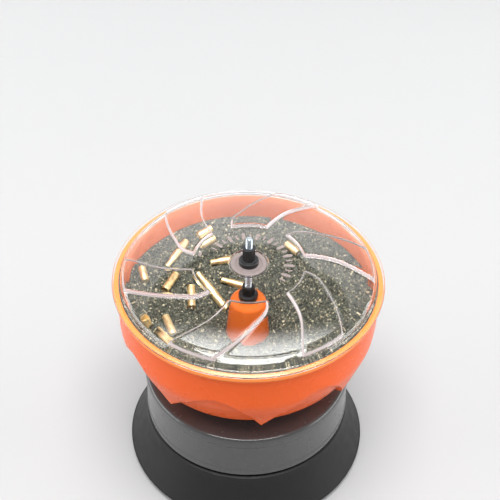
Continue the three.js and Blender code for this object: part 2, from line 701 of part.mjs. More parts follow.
function baseGeometry() {
  const inside = FLARE.slice(0, 4).map(([r, z]) => [r - SHELL_WALL * 1.1, z]).reverse();
  inside.unshift([inside[0][0] - 1, BASE_TOP_Z - DECK_THICKNESS]);
  const shell = turned(
    [...FLARE, [DECK_HOLE_RADIUS, BASE_TOP_Z], [DECK_HOLE_RADIUS, BASE_TOP_Z - DECK_THICKNESS], ...inside],
    SMOOTH,
  );
  const envelope = solid(turned([[0, BASE_BOTTOM_Z], ...FLARE, [0, BASE_TOP_Z]], SMOOTH));
  const pillar = disc(7, BASE_BOTTOM_Z, BASE_TOP_Z - 1, SMALL);
  const pillars = footPlaces.map((place) => fromSolid(solid(moved(pillar, place)).intersect(envelope)));
  const peg = disc(PEG.radius, BASE_TOP_Z - 1, BASE_TOP_Z + PEG.height, SMALL);
  const pegs = springPlaces.map((place) => moved(peg, place));
  const w = BOSS_HALF_WIDTH;
  const switchBox = box(-w, w, 104, BOSS_Y, BASE_BOTTOM_Z, BOSS_TOP_Z);
  const hollow = box(-w + 3, w - 3, 90, BOSS_Y - 3, BASE_BOTTOM_Z - 1, BOSS_TOP_Z - 3);
  const screwHole = disc(SCREW_RADIUS + GAP, BASE_BOTTOM_Z - 1, 26, SMALL);
  const switchHole = box(SWITCH_X - 7, SWITCH_X + 7, BOSS_Y - 9, BOSS_Y + 3, SWITCH_Z - 10, SWITCH_Z + 10);
  const glandHole = alongY(disc(7 + GAP, 0, 12, ROUND), GLAND_X, BOSS_Y - 7, SWITCH_Z - 5);
  const joined = join(shell, [switchBox, ...pillars, ...pegs]);
  return cut(joined, [hollow, switchHole, glandHole, ...footPlaces.map((place) => moved(screwHole, place))]);
}

// Lays a piece made along +Z so that it runs along +Y from the given place.
const alongY = (geometry, x, y, z) => geometry.clone().rotateX(-Math.PI / 2).translate(x, y, z);

add("base_shell", baseGeometry(), "basePlastic");

const SLOT = { inner: 45, outer: 95, halfWidth: 3, count: 10 };
const PLATE_RADIUS = 138.5;

function bottomPlateGeometry() {
  const plate = disc(PLATE_RADIUS, FOOT_HEIGHT + GAP, BASE_BOTTOM_Z - GAP, SMOOTH);
  const slot = box(SLOT.inner, SLOT.outer, -SLOT.halfWidth, SLOT.halfWidth, 0, BASE_BOTTOM_Z);
  const hole = disc(SCREW_RADIUS + GAP, 0, BASE_BOTTOM_Z, SMALL);
  const slots = around(SLOT.count, 18).map((a) => slot.clone().rotateZ(degrees(a)));
  return cut(plate, [...slots, ...footPlaces.map((place) => moved(hole, place))]);
}

add("bottom_plate", bottomPlateGeometry(), "steel");

const footShape = turned(
  [
    [4.8, 0],
    [FOOT_RADIUS - 1, 0],
    [FOOT_RADIUS, FOOT_HEIGHT],
    [SCREW_RADIUS + GAP, FOOT_HEIGHT],
    [SCREW_RADIUS + GAP, 3.3],
    [4.8, 3.3],
  ],
  SMALL,
);
const footScrewShape = turned(
  [
    [0, 0.8],
    [4.2, 0.8],
    [4.2, 3],
    [SCREW_RADIUS, 3],
    [SCREW_RADIUS, 23],
    [0, 24.5],
  ],
  SMALL,
);
footPlaces.forEach((place, i) => {
  add(`rubber_foot_${i + 1}`, moved(footShape, place), "rubber");
  add(`foot_screw_${i + 1}`, moved(footScrewShape, place), "zinc");
});

// ---- Cord inlet and rocker switch in the back of the base -----------------------------------------------------

const glandShape = turned(
  [
    [3.6, 0],
    [7, 0],
    [7, 6.3 - GAP],
    [10, 6.3],
    [10, 8.6],
    [8.6, 10],
    [3.6, 10],
  ],
  ROUND,
);
// The gland's flange stands a gap outside the box's face; its sleeve passes through the wall.
add("cord_gland", alongY(glandShape, GLAND_X, BOSS_Y - 6, SWITCH_Z - 5), "rubber");

const BEZEL = { halfWidth: 8.5, halfHeight: 12, sleeveHalfWidth: 6.7, sleeveHalfHeight: 9.7 };
const ROCKER = { halfWidth: 5, halfHeight: 7.4, tilt: 10 };

function bezelGeometry() {
  const { halfWidth, halfHeight, sleeveHalfWidth, sleeveHalfHeight } = BEZEL;
  const face = BOSS_Y + GAP;
  const flange = box(-halfWidth, halfWidth, face, face + 1.8, -halfHeight, halfHeight);
  const sleeve = box(-sleeveHalfWidth, sleeveHalfWidth, BOSS_Y - 8, face + 1, -sleeveHalfHeight, sleeveHalfHeight);
  const pocket = box(-5.5, 5.5, BOSS_Y - 6.5, face + 3, -8.4, 8.4);
  return cut(join(flange, [sleeve]), [pocket]).translate(SWITCH_X, 0, SWITCH_Z);
}

add("switch_bezel", bezelGeometry(), "blackPlastic");

// A shallow V across the height, tipped to its off position. Drawn with x out of the panel, y up.
function rockerGeometry() {
  const h = ROCKER.halfHeight;
  const rise = h * Math.tan(degrees(ROCKER.tilt));
  const profile = new THREE.Shape();
  profile.moveTo(2.2, 0);
  profile.lineTo(2.2 + rise, h);
  profile.lineTo(-0.5, h);
  profile.quadraticCurveTo(-4.2, h * 0.4, -4.2, 0);
  profile.quadraticCurveTo(-4.2, -h * 0.4, -0.5, -h);
  profile.lineTo(2.2 + rise, -h);
  profile.closePath();
  return slab(profile, -ROCKER.halfWidth, ROCKER.halfWidth, 6)
    .rotateZ(degrees(ROCKER.tilt))
    .applyMatrix4(new THREE.Matrix4().set(0, 0, 1, 0, 1, 0, 0, 0, 0, 1, 0, 0, 0, 0, 0, 1))
    .translate(SWITCH_X, BOSS_Y, SWITCH_Z);
}

add("switch_rocker", rockerGeometry(), "switchRed");

export default tumbler;
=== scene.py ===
"""A bowl-type vibratory tumbler with a clear vaned lid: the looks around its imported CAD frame.

Lengths are millimetres in the outlines below and metres in Blender. Z is up and -Y is the front.
"""

import math

import bmesh
import bpy
import numpy as np
from mathutils import Matrix, Vector


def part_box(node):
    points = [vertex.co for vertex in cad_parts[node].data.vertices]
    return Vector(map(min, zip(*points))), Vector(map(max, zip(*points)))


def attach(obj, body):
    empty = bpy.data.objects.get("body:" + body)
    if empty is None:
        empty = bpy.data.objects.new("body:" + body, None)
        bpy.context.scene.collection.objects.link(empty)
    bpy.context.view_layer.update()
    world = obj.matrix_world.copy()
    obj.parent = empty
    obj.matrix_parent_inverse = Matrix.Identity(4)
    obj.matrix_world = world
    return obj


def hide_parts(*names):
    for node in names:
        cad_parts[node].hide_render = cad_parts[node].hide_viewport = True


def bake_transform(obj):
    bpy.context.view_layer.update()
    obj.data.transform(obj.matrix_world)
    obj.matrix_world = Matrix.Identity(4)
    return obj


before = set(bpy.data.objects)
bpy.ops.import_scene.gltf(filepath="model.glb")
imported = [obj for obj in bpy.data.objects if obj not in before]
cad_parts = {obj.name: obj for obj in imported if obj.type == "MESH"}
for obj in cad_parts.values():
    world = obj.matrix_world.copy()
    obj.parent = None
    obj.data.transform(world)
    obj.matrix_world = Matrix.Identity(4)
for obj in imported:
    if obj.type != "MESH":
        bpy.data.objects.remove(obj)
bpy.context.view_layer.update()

MM = 0.001
RNG = np.random.default_rng(20)


def low(node):
    """Lowest height of a CAD node, in millimetres."""
    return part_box(node)[0].z / MM


def high(node):
    """Greatest height of a CAD node, in millimetres."""
    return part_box(node)[1].z / MM


def middle(node):
    """Middle of a CAD node's box, in millimetres."""
    return (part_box(node)[0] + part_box(node)[1]) / (2 * MM)


def in_scene(name, data):
    """A new object for the mesh, lamp or camera given, linked to the scene."""
    made = bpy.data.objects.new(name, data)
    bpy.context.scene.collection.objects.link(made)
    return made


FLANGE_HANG = 1.0
RIM_Z = low("lid") + FLANGE_HANG  # plane where the lid's flange meets the bowl's rim
GAP = 0.3  # between pieces that touch
ROD_HOLE = 4.3  # radius of the hole in every piece that sits on the rod

# ---- Camera and lights ----

CAMERA_PLACE = (1.07, -873.9, RIM_Z + 822.9)  # millimetres
CAMERA_PITCH, CAMERA_ROLL = 48.09, 0.98  # degrees
CAMERA_LENS = 78.49

camera = in_scene("camera", bpy.data.cameras.new("camera"))
camera.data.sensor_width = 36
camera.data.lens = CAMERA_LENS
camera.data.clip_end = 50
pitch = Matrix.Rotation(math.radians(CAMERA_PITCH), 4, "X")
roll = Matrix.Rotation(math.radians(CAMERA_ROLL), 4, "Z")
camera.matrix_world = Matrix.Translation(Vector(CAMERA_PLACE) * MM) @ pitch @ roll
bpy.context.scene.camera = camera
bpy.context.scene.view_settings.view_transform = "Standard"

AIM = Vector((0, 0, 0.25))  # the point that the lights face, in metres
MAP_RANGE = ("From Min", "From Max", "To Min", "To Max")


def aim(light, azimuth, elevation, distance):
    """Stands a light off from the object and turns it to face it. Azimuth 90 is behind, towards +Y."""
    a, e = math.radians(azimuth), math.radians(elevation)
    away = Vector((math.cos(a) * math.cos(e), math.sin(a) * math.cos(e), math.sin(e)))
    light.location = AIM + away * distance
    light.rotation_mode = "QUATERNION"
    light.rotation_quaternion = away.to_track_quat("Z", "Y")


def area_light(name, azimuth, elevation, distance, size, radiance):
    """A soft rectangle."""
    light = bpy.data.lights.new(name, "AREA")
    light.shape = "RECTANGLE"
    light.size, light.size_y = size
    light.energy = radiance * math.pi * size[0] * size[1]
    aim(in_scene(name, light), azimuth, elevation, distance)


def faded(tree, coordinate, ends):
    """A value that eases in along Y, as a socket; ends are Y and value at the start and the end."""
    place = tree.nodes.new("ShaderNodeTexCoord")
    split = tree.nodes.new("ShaderNodeSeparateXYZ")
    fade = tree.nodes.new("ShaderNodeMapRange")
    fade.interpolation_type = "SMOOTHSTEP"
    (y0, value0), (y1, value1) = ends
    for socket, value in zip(MAP_RANGE, (y0, y1, value0, value1)):
        fade.inputs[socket].default_value = value
    tree.links.new(place.outputs[coordinate], split.inputs[0])
    tree.links.new(split.outputs["Y"], fade.inputs["Value"])
    return fade.outputs["Result"]


def umbrella(azimuth, elevation, distance, spread, radiance):
    """An oval diffuser, brightest at its upper rim and dark below, that the lid mirrors as an arc."""
    radius = distance * math.tan(math.radians(spread))
    mesh = bpy.data.meshes.new("umbrella")
    work = bmesh.new()
    bmesh.ops.create_circle(work, cap_ends=True, radius=radius, segments=96)
    work.to_mesh(mesh)
    work.free()
    disc = in_scene("umbrella", mesh)
    disc.scale = (1.3, 1, 1)
    aim(disc, azimuth, elevation, distance)
    material = bpy.data.materials.new("umbrella")
    material.use_nodes = True
    tree = material.node_tree
    tree.nodes.clear()
    glow = tree.nodes.new("ShaderNodeEmission")
    glow.inputs["Color"].default_value = (0.96, 0.98, 1.0, 1)
    output = tree.nodes.new("ShaderNodeOutputMaterial")
    strength = faded(tree, "Object", ((0, 0), (0.85 * radius, radiance)))
    tree.links.new(strength, glow.inputs["Strength"])
    tree.links.new(glow.outputs[0], output.inputs["Surface"])
    mesh.materials.append(material)


area_light("overhead_softbox", -90, 76, 8.0, (6.0, 4.6), 12.5)
area_light("left_flat", 180, 14, 3.0, (3.0, 1.6), 4.2)
area_light("right_flat", 0, 14, 3.0, (3.0, 1.6), 4.2)
umbrella(90, 59.5, 3.0, 17.8, 9.0)

world = bpy.data.worlds.new("studio")
bpy.context.scene.world = world
world.use_nodes = True
sky = world.node_tree.nodes["Background"]
sky.inputs["Color"].default_value = (0.97, 0.98, 1.0, 1)
backdrop = faded(world.node_tree, "Generated", ((0.4, 0.4), (0.95, 1.9)))  # brighter behind the object
world.node_tree.links.new(backdrop, sky.inputs["Strength"])

# ---- Materials ----


class Finish:
    """A Principled material whose details come from procedural nodes in object space."""

    def __init__(self, name, colour, roughness, **sockets):
        self.material = bpy.data.materials.new(name)
        self.material.use_nodes = True
        self.tree = self.material.node_tree
        self.shader = self.tree.nodes["Principled BSDF"]
        self.shader.inputs["Roughness"].default_value = roughness
        self.shader.inputs["Base Color"].default_value = (*colour, 1)
        for socket, value in sockets.items():
            self.shader.inputs[socket.replace("_", " ")].default_value = value
        self.colour, self.roughness = colour, roughness
        self.place = self.node("ShaderNodeTexCoord").outputs["Object"]

    def node(self, kind, **settings):
        made = self.tree.nodes.new(kind)
        for key, value in settings.items():
            if key in made.inputs:
                made.inputs[key].default_value = value
            else:
                setattr(made, key, value)
        return made

    def link(self, source, socket):
        self.tree.links.new(source, socket)

    def noise(self, scale, detail=3, place=None, distortion=0.0):
        made = self.node("ShaderNodeTexNoise", Scale=scale, Detail=detail, Distortion=distortion)
        self.link(place or self.place, made.inputs["Vector"])
        return made.outputs["Fac"]

    def cells(self, scale):
        made = self.node("ShaderNodeTexVoronoi", Scale=scale)
        self.link(self.place, made.inputs["Vector"])
        return made

    def bands(self, scale, distortion=0.0):
        """Level stripes."""
        made = self.node("ShaderNodeTexWave", bands_direction="Z", Scale=scale, Distortion=distortion)
        self.link(self.place, made.inputs["Vector"])
        return made.outputs["Fac"]

    def ramp(self, source, *stops):
        """Colours or greys by the source's value: each stop is (position, grey or colour)."""
        made = self.node("ShaderNodeValToRGB")
        elements = made.color_ramp.elements
        while len(elements) < len(stops):
            elements.new(1.0)
        for element, (position, value) in zip(elements, stops):
            element.position = position
            value = (value,) * 3 if isinstance(value, (int, float)) else value
            element.color = (*value, 1)
        self.link(source, made.inputs["Fac"])
        return made.outputs["Color"]

    def mixed(self, share, a, b, blend="MIX"):
        """a and b are sockets or colours; share is a socket or a number."""
        made = self.node("ShaderNodeMix", data_type="RGBA", blend_type=blend)
        for value, socket in ((share, made.inputs[0]), (a, made.inputs[6]), (b, made.inputs[7])):
            if isinstance(value, bpy.types.NodeSocket):
                self.link(value, socket)
            else:
                socket.default_value = value if isinstance(value, (int, float)) else (*value, 1)
        return made.outputs[2]

    def paint(self, source):
        self.link(source, self.shader.inputs["Base Color"])

    def mottle(self, scale, amount):
        """Slow drift of the base colour, darker and lighter by the amount."""
        dark = tuple(c * (1 - amount) for c in self.colour)
        light = tuple(min(1, c * (1 + amount)) for c in self.colour)
        self.paint(self.ramp(self.noise(scale, 4), (0.3, dark), (0.7, light)))

    def rough(self, source, spread):
        """Uneven gloss, by the spread to either side of the material's roughness."""
        made = self.node("ShaderNodeMapRange")
        ends = (0.3, 0.7, max(0.02, self.roughness - spread), self.roughness + spread)
        for socket, value in zip(MAP_RANGE, ends):
            made.inputs[socket].default_value = value
        self.link(source, made.inputs["Value"])
        self.link(made.outputs["Result"], self.shader.inputs["Roughness"])

    def bump(self, source, height):
        """Height is the full relief in millimetres."""
        made = self.node("ShaderNodeBump", Strength=1.0, Distance=height * MM)
        self.link(source, made.inputs["Height"])
        self.link(made.outputs["Normal"], self.shader.inputs["Normal"])

    def opened(self, share, tint):
        """Lets a share of the light straight through the surface."""
        mix = self.node("ShaderNodeMixShader")
        if isinstance(share, float):
            mix.inputs[0].default_value = share
        else:
            self.link(share, mix.inputs[0])
        clear = self.node("ShaderNodeBsdfTransparent", Color=(tint, tint, tint, 1))
        self.link(self.shader.outputs[0], mix.inputs[1])
        self.link(clear.outputs[0], mix.inputs[2])
        self.link(mix.outputs[0], self.tree.nodes["Material Output"].inputs["Surface"])


def moulded(name, colour, roughness, grain=1200, relief=0.02, mottle=0.06, **sockets):
    """Injection-moulded plastic or paint: faint mottle, fine pebble and uneven gloss."""
    made = Finish(name, colour, roughness, **sockets)
    made.mottle(18, mottle)
    made.rough(made.noise(90), 0.05)
    made.bump(made.cells(grain).outputs["Distance"], relief)
    return made.material


def orange_plastic():
    """Glossy orange moulding. Its lip under the lid's flange is painted paler and yellower as a painted
    reflection, and its whole inside is painted half as pale as painted haze from the clear lid.
    """
    made = Finish("orange_plastic", (0.80, 0.115, 0.012), 0.28, IOR=1.5, Specular_IOR_Level=0.22)
    flow = made.ramp(made.noise(5, 3), (0.35, (0.72, 0.096, 0.009)), (0.65, (0.78, 0.109, 0.011)))
    # the point value read here mixes in a paler orange, fully on the rim's lip and half on the inside:
    # painted reflection and haze from the lid
    painted_sheen = made.node("ShaderNodeAttribute", attribute_name="painted_sheen").outputs["Fac"]
    made.paint(made.mixed(painted_sheen, flow, (0.94, 0.26, 0.05)))
    made.rough(made.noise(30, 5, None, 0.6), 0.05)
    made.bump(made.noise(700, 2), 0.008)
    return made.material


def clear_plastic():
    """Clear sheet, painted a dull pale pink and made less clear along the vanes' steps and ends: a painted
    highlight of those edges.
    Lamps and diffuse light pass straight through it."""
    clear = (0.985, 0.985, 0.98)
    made = Finish("clear_plastic", clear, 0.03, IOR=1.49)
    # the edge value paints a pale pink, rougher, less clear sheet on the vanes' steps and ends: a painted
    # highlight
    edge = made.node("ShaderNodeAttribute", attribute_name="edge").outputs["Fac"]
    haze = made.ramp(made.noise(60, 6, None, 1.5), (0.3, 0.02), (0.75, 0.05))
    made.link(made.mixed(edge, haze, (0.3, 0.3, 0.3)), made.shader.inputs["Roughness"])
    made.paint(made.mixed(edge, clear, (0.42, 0.34, 0.34)))
    made.link(made.ramp(edge, (0.0, 1.0), (1.0, 0.25)), made.shader.inputs["Transmission Weight"])
    made.bump(made.noise(14, 1), 0.03)
    path = made.node("ShaderNodeLightPath")
    either = made.node("ShaderNodeMath", operation="MAXIMUM")
    made.link(path.outputs["Is Shadow Ray"], either.inputs[0])
    made.link(path.outputs["Is Diffuse Ray"], either.inputs[1])
    made.opened(either.outputs[0], 0.95)
    return made.material


def frosted_plastic(name, tone=1.0, seen_through=0.0):
    """Etched sheet; the moulded marks let part of what is behind them show."""
    made = Finish(name, (0.18, 0.15, 0.14), 0.5, IOR=1.49)
    speck = made.noise(900, 4)
    dull, pale = (tuple(tone * c for c in grey) for grey in ((0.175, 0.14, 0.134), (0.235, 0.19, 0.18)))
    made.paint(made.ramp(speck, (0.3, dull), (0.7, pale)))
    made.rough(made.noise(120), 0.1)
    made.bump(speck, 0.03)
    if seen_through:
        made.opened(seen_through, 0.95)
    return made.material


def crushed_media():
    """Crushed shell with polishing compound. Each grain has its own tone, and a few sparkle. The heap under
    them has tone 0 and takes its shades from small cells."""
    made = Finish("crushed_media", (0.15, 0.13, 0.09), 0.6, IOR=1.5)
    own = made.node("ShaderNodeAttribute", attribute_name="tone").outputs["Fac"]
    heap = made.ramp(own, (0.0, 1.0), (0.01, 0.0))
    shade = made.ramp(made.cells(1000).outputs["Color"], (0.28, 0.02), (0.82, 0.72))
    tone = made.mixed(heap, own, shade)
    grain = made.ramp(
        tone,
        (0.0, (0.012, 0.013, 0.010)),
        (0.30, (0.040, 0.047, 0.034)),
        (0.58, (0.115, 0.122, 0.088)),
        (0.78, (0.27, 0.265, 0.185)),
        (0.92, (0.62, 0.56, 0.37)),
        (1.0, (0.98, 0.90, 0.66)),
    )
    dirt = made.ramp(made.noise(1500, 2), (0.3, 0.75), (0.7, 1.0))
    made.paint(made.mixed(1.0, grain, dirt, "MULTIPLY"))
    made.link(made.ramp(tone, (0.0, 0.75), (0.93, 0.55), (0.96, 0.25)), made.shader.inputs["Roughness"])
    made.bump(made.noise(2500, 2), 0.05)
    return made.material


def cartridge_brass():
    made = Finish("cartridge_brass", (0.88, 0.74, 0.42), 0.36, Metallic=0.85)
    stain = made.noise(170, 5, None, 0.8)
    stops = (0.32, (0.70, 0.52, 0.24)), (0.5, (0.86, 0.71, 0.40)), (0.72, (0.92, 0.80, 0.52))
    made.paint(made.ramp(stain, *stops))
    made.rough(made.noise(400, 4), 0.08)
    made.bump(made.noise(1600, 3), 0.02)
    return made.material


def metal(name, colour, roughness, stretch=(1, 1, 1), relief=0.02):
    """Worked metal: streaks across the direction of the stretch, stains and uneven gloss."""
    made = Finish(name, colour, roughness, Metallic=1.0)
    mapping = made.node("ShaderNodeMapping", Scale=stretch)
    made.link(made.place, mapping.inputs["Vector"])
    streaks = made.noise(500, 4, mapping.outputs["Vector"])
    dark = tuple(c * 0.72 for c in colour)
    made.paint(made.ramp(streaks, (0.3, dark), (0.65, colour)))
    made.rough(made.noise(150, 4), min(0.12, roughness * 0.5))
    made.bump(streaks, relief)
    return made.material


def laminations():
    made = Finish("laminations", (0.22, 0.235, 0.25), 0.45, Metallic=0.9)
    sheets = made.bands(320)
    made.paint(made.ramp(sheets, (0.35, (0.06, 0.06, 0.065)), (0.6, (0.26, 0.275, 0.29))))
    made.rough(made.noise(200), 0.1)
    made.bump(sheets, 0.2)
    return made.material


def copper_winding():
    made = Finish("copper_winding", (0.62, 0.24, 0.08), 0.32, Metallic=0.7, Coat_Weight=0.6)
    wires = made.bands(260, 1.5)
    made.paint(made.ramp(wires, (0.2, (0.22, 0.07, 0.02)), (0.6, (0.70, 0.29, 0.10))))
    made.rough(made.noise(300), 0.08)
    made.bump(wires, 0.4)
    return made.material


def studio_floor():
    made = Finish("studio_floor", (0.375, 0.375, 0.375), 0.7, Specular_IOR_Level=0.1)
    made.paint(made.ramp(made.noise(1.2, 2), (0.3, (0.372, 0.372, 0.374)), (0.7, (0.378, 0.378, 0.379))))
    made.rough(made.noise(3), 0.05)
    made.bump(made.noise(400, 2), 0.01)
    return made.material


LOOKS = {
    "clear_plastic": clear_plastic(),
    "frosted_plastic": frosted_plastic("frosted_plastic"),
    "frosted_mark": frosted_plastic("frosted_mark", 1.7, 0.5),
    "orange_plastic": orange_plastic(),
    "crushed_media": crushed_media(),
    "cartridge_brass": cartridge_brass(),
    "black_plastic": moulded("black_plastic", (0.009, 0.009, 0.010), 0.42, relief=0.03),
    "base_plastic": moulded("base_plastic", (0.009, 0.0085, 0.009), 0.5, 900, 0.05, Specular_IOR_Level=0.3),
    "rubber": moulded("rubber", (0.009, 0.009, 0.009), 0.8, 700, 0.06, 0.2),
    "housing_paint": moulded("housing_paint", (0.05, 0.051, 0.052), 0.24, 500, 0.008, Coat_Weight=0.3),
    "fan_plastic": moulded("fan_plastic", (0.045, 0.055, 0.07), 0.5),
    "switch_red": moulded("switch_red", (0.42, 0.012, 0.010), 0.3, relief=0.01),
    "zinc_steel": metal("zinc_steel", (0.52, 0.60, 0.66), 0.26, (1, 1, 6)),
    "spring_steel": metal("spring_steel", (0.42, 0.43, 0.45), 0.35, (1, 1, 3)),
    "plate_steel": metal("plate_steel", (0.45, 0.46, 0.47), 0.4, (1, 8, 1)),
    "cast_alloy": metal("cast_alloy", (0.55, 0.56, 0.57), 0.55, relief=0.12),
    "cast_iron": metal("cast_iron", (0.13, 0.13, 0.135), 0.65, relief=0.2),
    "laminations": laminations(),
    "copper_winding": copper_winding(),
}

# ---- Mesh helpers ----

SHARP_ANGLE = 34  # degrees between faces that show as an edge


def smooth_curve(table, x):
    """A monotone curve through (input, output) rows."""
    xs, ys = np.array(table, float).T
    i = int(np.clip(np.searchsorted(xs, x) - 1, 0, len(xs) - 2))
    steps = np.diff(ys) / np.diff(xs)
    ends = np.concatenate([[steps[0]], steps, [steps[-1]]])
    a, b = ends[:-1], ends[1:]
    slopes = np.where(a * b > 0, 2 * a * b / np.where(a + b == 0, 1, a + b), 0)
    h = xs[i + 1] - xs[i]
    t = min(max((x - xs[i]) / h, 0), 1)
    return float(
        (1 + 2 * t) * (1 - t) ** 2 * ys[i]
        + t * (1 - t) ** 2 * h * slopes[i]
        + t * t * (3 - 2 * t) * ys[i + 1]
        + t * t * (t - 1) * h * slopes[i + 1]
    )


def smoothstep(x, start, end):
    t = min(max((x - start) / (end - start), 0), 1)
    return t * t * (3 - 2 * t)


def rounded(outline, steps=4):
    """An outline of (r, z) or (r, z, corner radius) rows with those corners turned into arcs."""
    points = []
    count = len(outline)
    for i, row in enumerate(outline):
        here = Vector(row[:2])
        if len(row) < 3:
            points.append(tuple(here))
            continue
        before, after = Vector(outline[i - 1][:2]) - here, Vector(outline[(i + 1) % count][:2]) - here
        reach = min(row[2], before.length * 0.48, after.length * 0.48)
        start, end = here + before.normalized() * reach, here + after.normalized() * reach
        for k in range(steps + 1):
            t = k / steps
            points.append(tuple((1 - t) ** 2 * start + 2 * t * (1 - t) * here + t * t * end))
    return points


def grid_faces(rings, columns, wrapped):
    """Quads of a grid of rings; wrapped joins the last ring to the first."""
    i, j = np.meshgrid(np.arange(rings if wrapped else rings - 1), np.arange(columns), indexing="ij")
    a, b = i * columns + j, i * columns + (j + 1) % columns
    c, d = ((i + 1) % rings) * columns + (j + 1) % columns, ((i + 1) % rings) * columns + j
    return np.stack([a, b, c, d], -1).reshape(-1, 4).tolist()


def around(r, z, angles):
    """Points at radius r and height z in each of the directions given; the three are broadcast."""
    rows = np.broadcast_arrays(r * np.cos(angles), r * np.sin(angles), z)
    return np.stack(rows, -1).reshape(-1, 3)


def circle(segments):
    return np.arange(segments) * 2 * math.pi / segments


def capped(points, faces, segments, z0, z1):
    """Closes a stack of rings with a fan at each end, to points on the axis."""
    first, last, top = len(points), len(points) + 1, len(points) - segments
    for j in range(segments):
        k = (j + 1) % segments
        faces += [[first, k, j], [last, top + j, top + k]]
    return np.vstack([points, [0, 0, z0], [0, 0, z1]]), faces


def revolved(outline, segments, steps=4):
    """Points and faces of an outline turned about Z, with its corners rounded. An outline that starts and
    ends on the axis gives a solid piece, and any other is joined end to start."""
    outline = rounded(outline, steps)
    onto_axis = outline[0][0] == 0 and outline[-1][0] == 0
    body = outline[1:-1] if onto_axis else outline
    r, z = np.array(body, float).T
    points = around(r[:, None], z[:, None], circle(segments))
    faces = grid_faces(len(body), segments, not onto_axis)
    if onto_axis:
        return capped(points, faces, segments, outline[0][1], outline[-1][1])
    return points, faces


def mesh_from(name, points, faces, matrix=None):
    """A mesh with its faces turned outwards, from points in millimetres."""
    mesh = bpy.data.meshes.new(name)
    mesh.from_pydata((np.asarray(points, float) * MM).tolist(), [], faces)
    if matrix is not None:
        mesh.transform(matrix)
    work = bmesh.new()
    work.from_mesh(mesh)
    bmesh.ops.recalc_face_normals(work, faces=work.faces)
    work.to_mesh(mesh)
    work.free()
    return mesh


def shown(node, suffix, points, faces, look, sharp=SHARP_ANGLE, matrix=None, replaces=True):
    """A piece in its finish, from points in millimetres, that stands for the CAD node it is named after."""
    mesh = mesh_from(f"{node}_{suffix}", points, faces, matrix)
    mesh.shade_smooth()
    if sharp:
        mesh.set_sharp_from_angle(angle=math.radians(sharp))
    mesh.materials.append(LOOKS[look])
    made = in_scene(mesh.name, mesh)
    if replaces:
        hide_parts(node)
    return made


def piece(node, suffix, points, faces, look, body, **options):
    """A shown piece that rides on the body."""
    made = shown(node, suffix, points, faces, look, **options)
    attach(made, body)
    return made


def painted(made, attribute, values):
    """Gives each point of a piece a value that its material reads."""
    made.data.attributes.new(attribute, "FLOAT", "POINT").data.foreach_set("value", values)


def merged(parts):
    """One list of points and one of faces from several."""
    points, faces, shift = [], [], 0
    for some_points, some_faces in parts:
        points.append(some_points)
        faces += [[k + shift for k in face] for face in some_faces]
        shift += len(some_points)
    return np.vstack(points), faces


def placed(part, x, y):
    return part[0] + (x, y, 0), part[1]


def polar(radius, azimuth):
    return radius * math.cos(math.radians(azimuth)), radius * math.sin(math.radians(azimuth))


# ---- Lid ----

HUB_SINK = 2.0  # depth of the washer's seat in the lid's centre
VANES = 6
VANE_FIRST = 30.0  # azimuth of the first vane
VANE_HEIGHT = 3.0
VANE_INNER, VANE_OUTER = 62.0, 137.0
# radius, and degrees from the vane's middle
VANE_LEADING = [(62, 18.3), (72, 16), (94, 3.5), (120, -8), (138, -15)]
VANE_TRAILING = [(62, -18.3), (93, -24.5), (120, -32), (138, -36)]
STEP_HALF_WIDTH = 1.5  # of a vane's side
END_HALF_WIDTH = 1.0  # of its inner and outer ends
LID_THICKNESS = 2.2
# radius, and height above the rim plane
LID_DOME = [(ROD_HOLE, 19.5), (56, 19.5), (66, 19.2), (82, 18.0), (100, 16.2), (112, 14.5)]
LID_DOME += [(125, 12.1), (134, 9.8), (138, 7.3)]
LID_SKIRT = [(139.2, 5.6), (140.2, 3.9), (140.9, 2.3), (141.7, 1.45), (143.0, 1.2)]
LID_SKIRT += [(148.9, 1.2), (149.6, 0.9), (149.85, 0.2), (149.7, -0.6)]
FLANGE_UNDER = [(149.2, -1.0), (148.4, -1.0), (142.6, -1.0), (141.2, -0.95), (140.0, -0.6)]
FLANGE_UNDER += [(139.0, 0.4), (138.3, 1.9), (137.4, 3.6)]


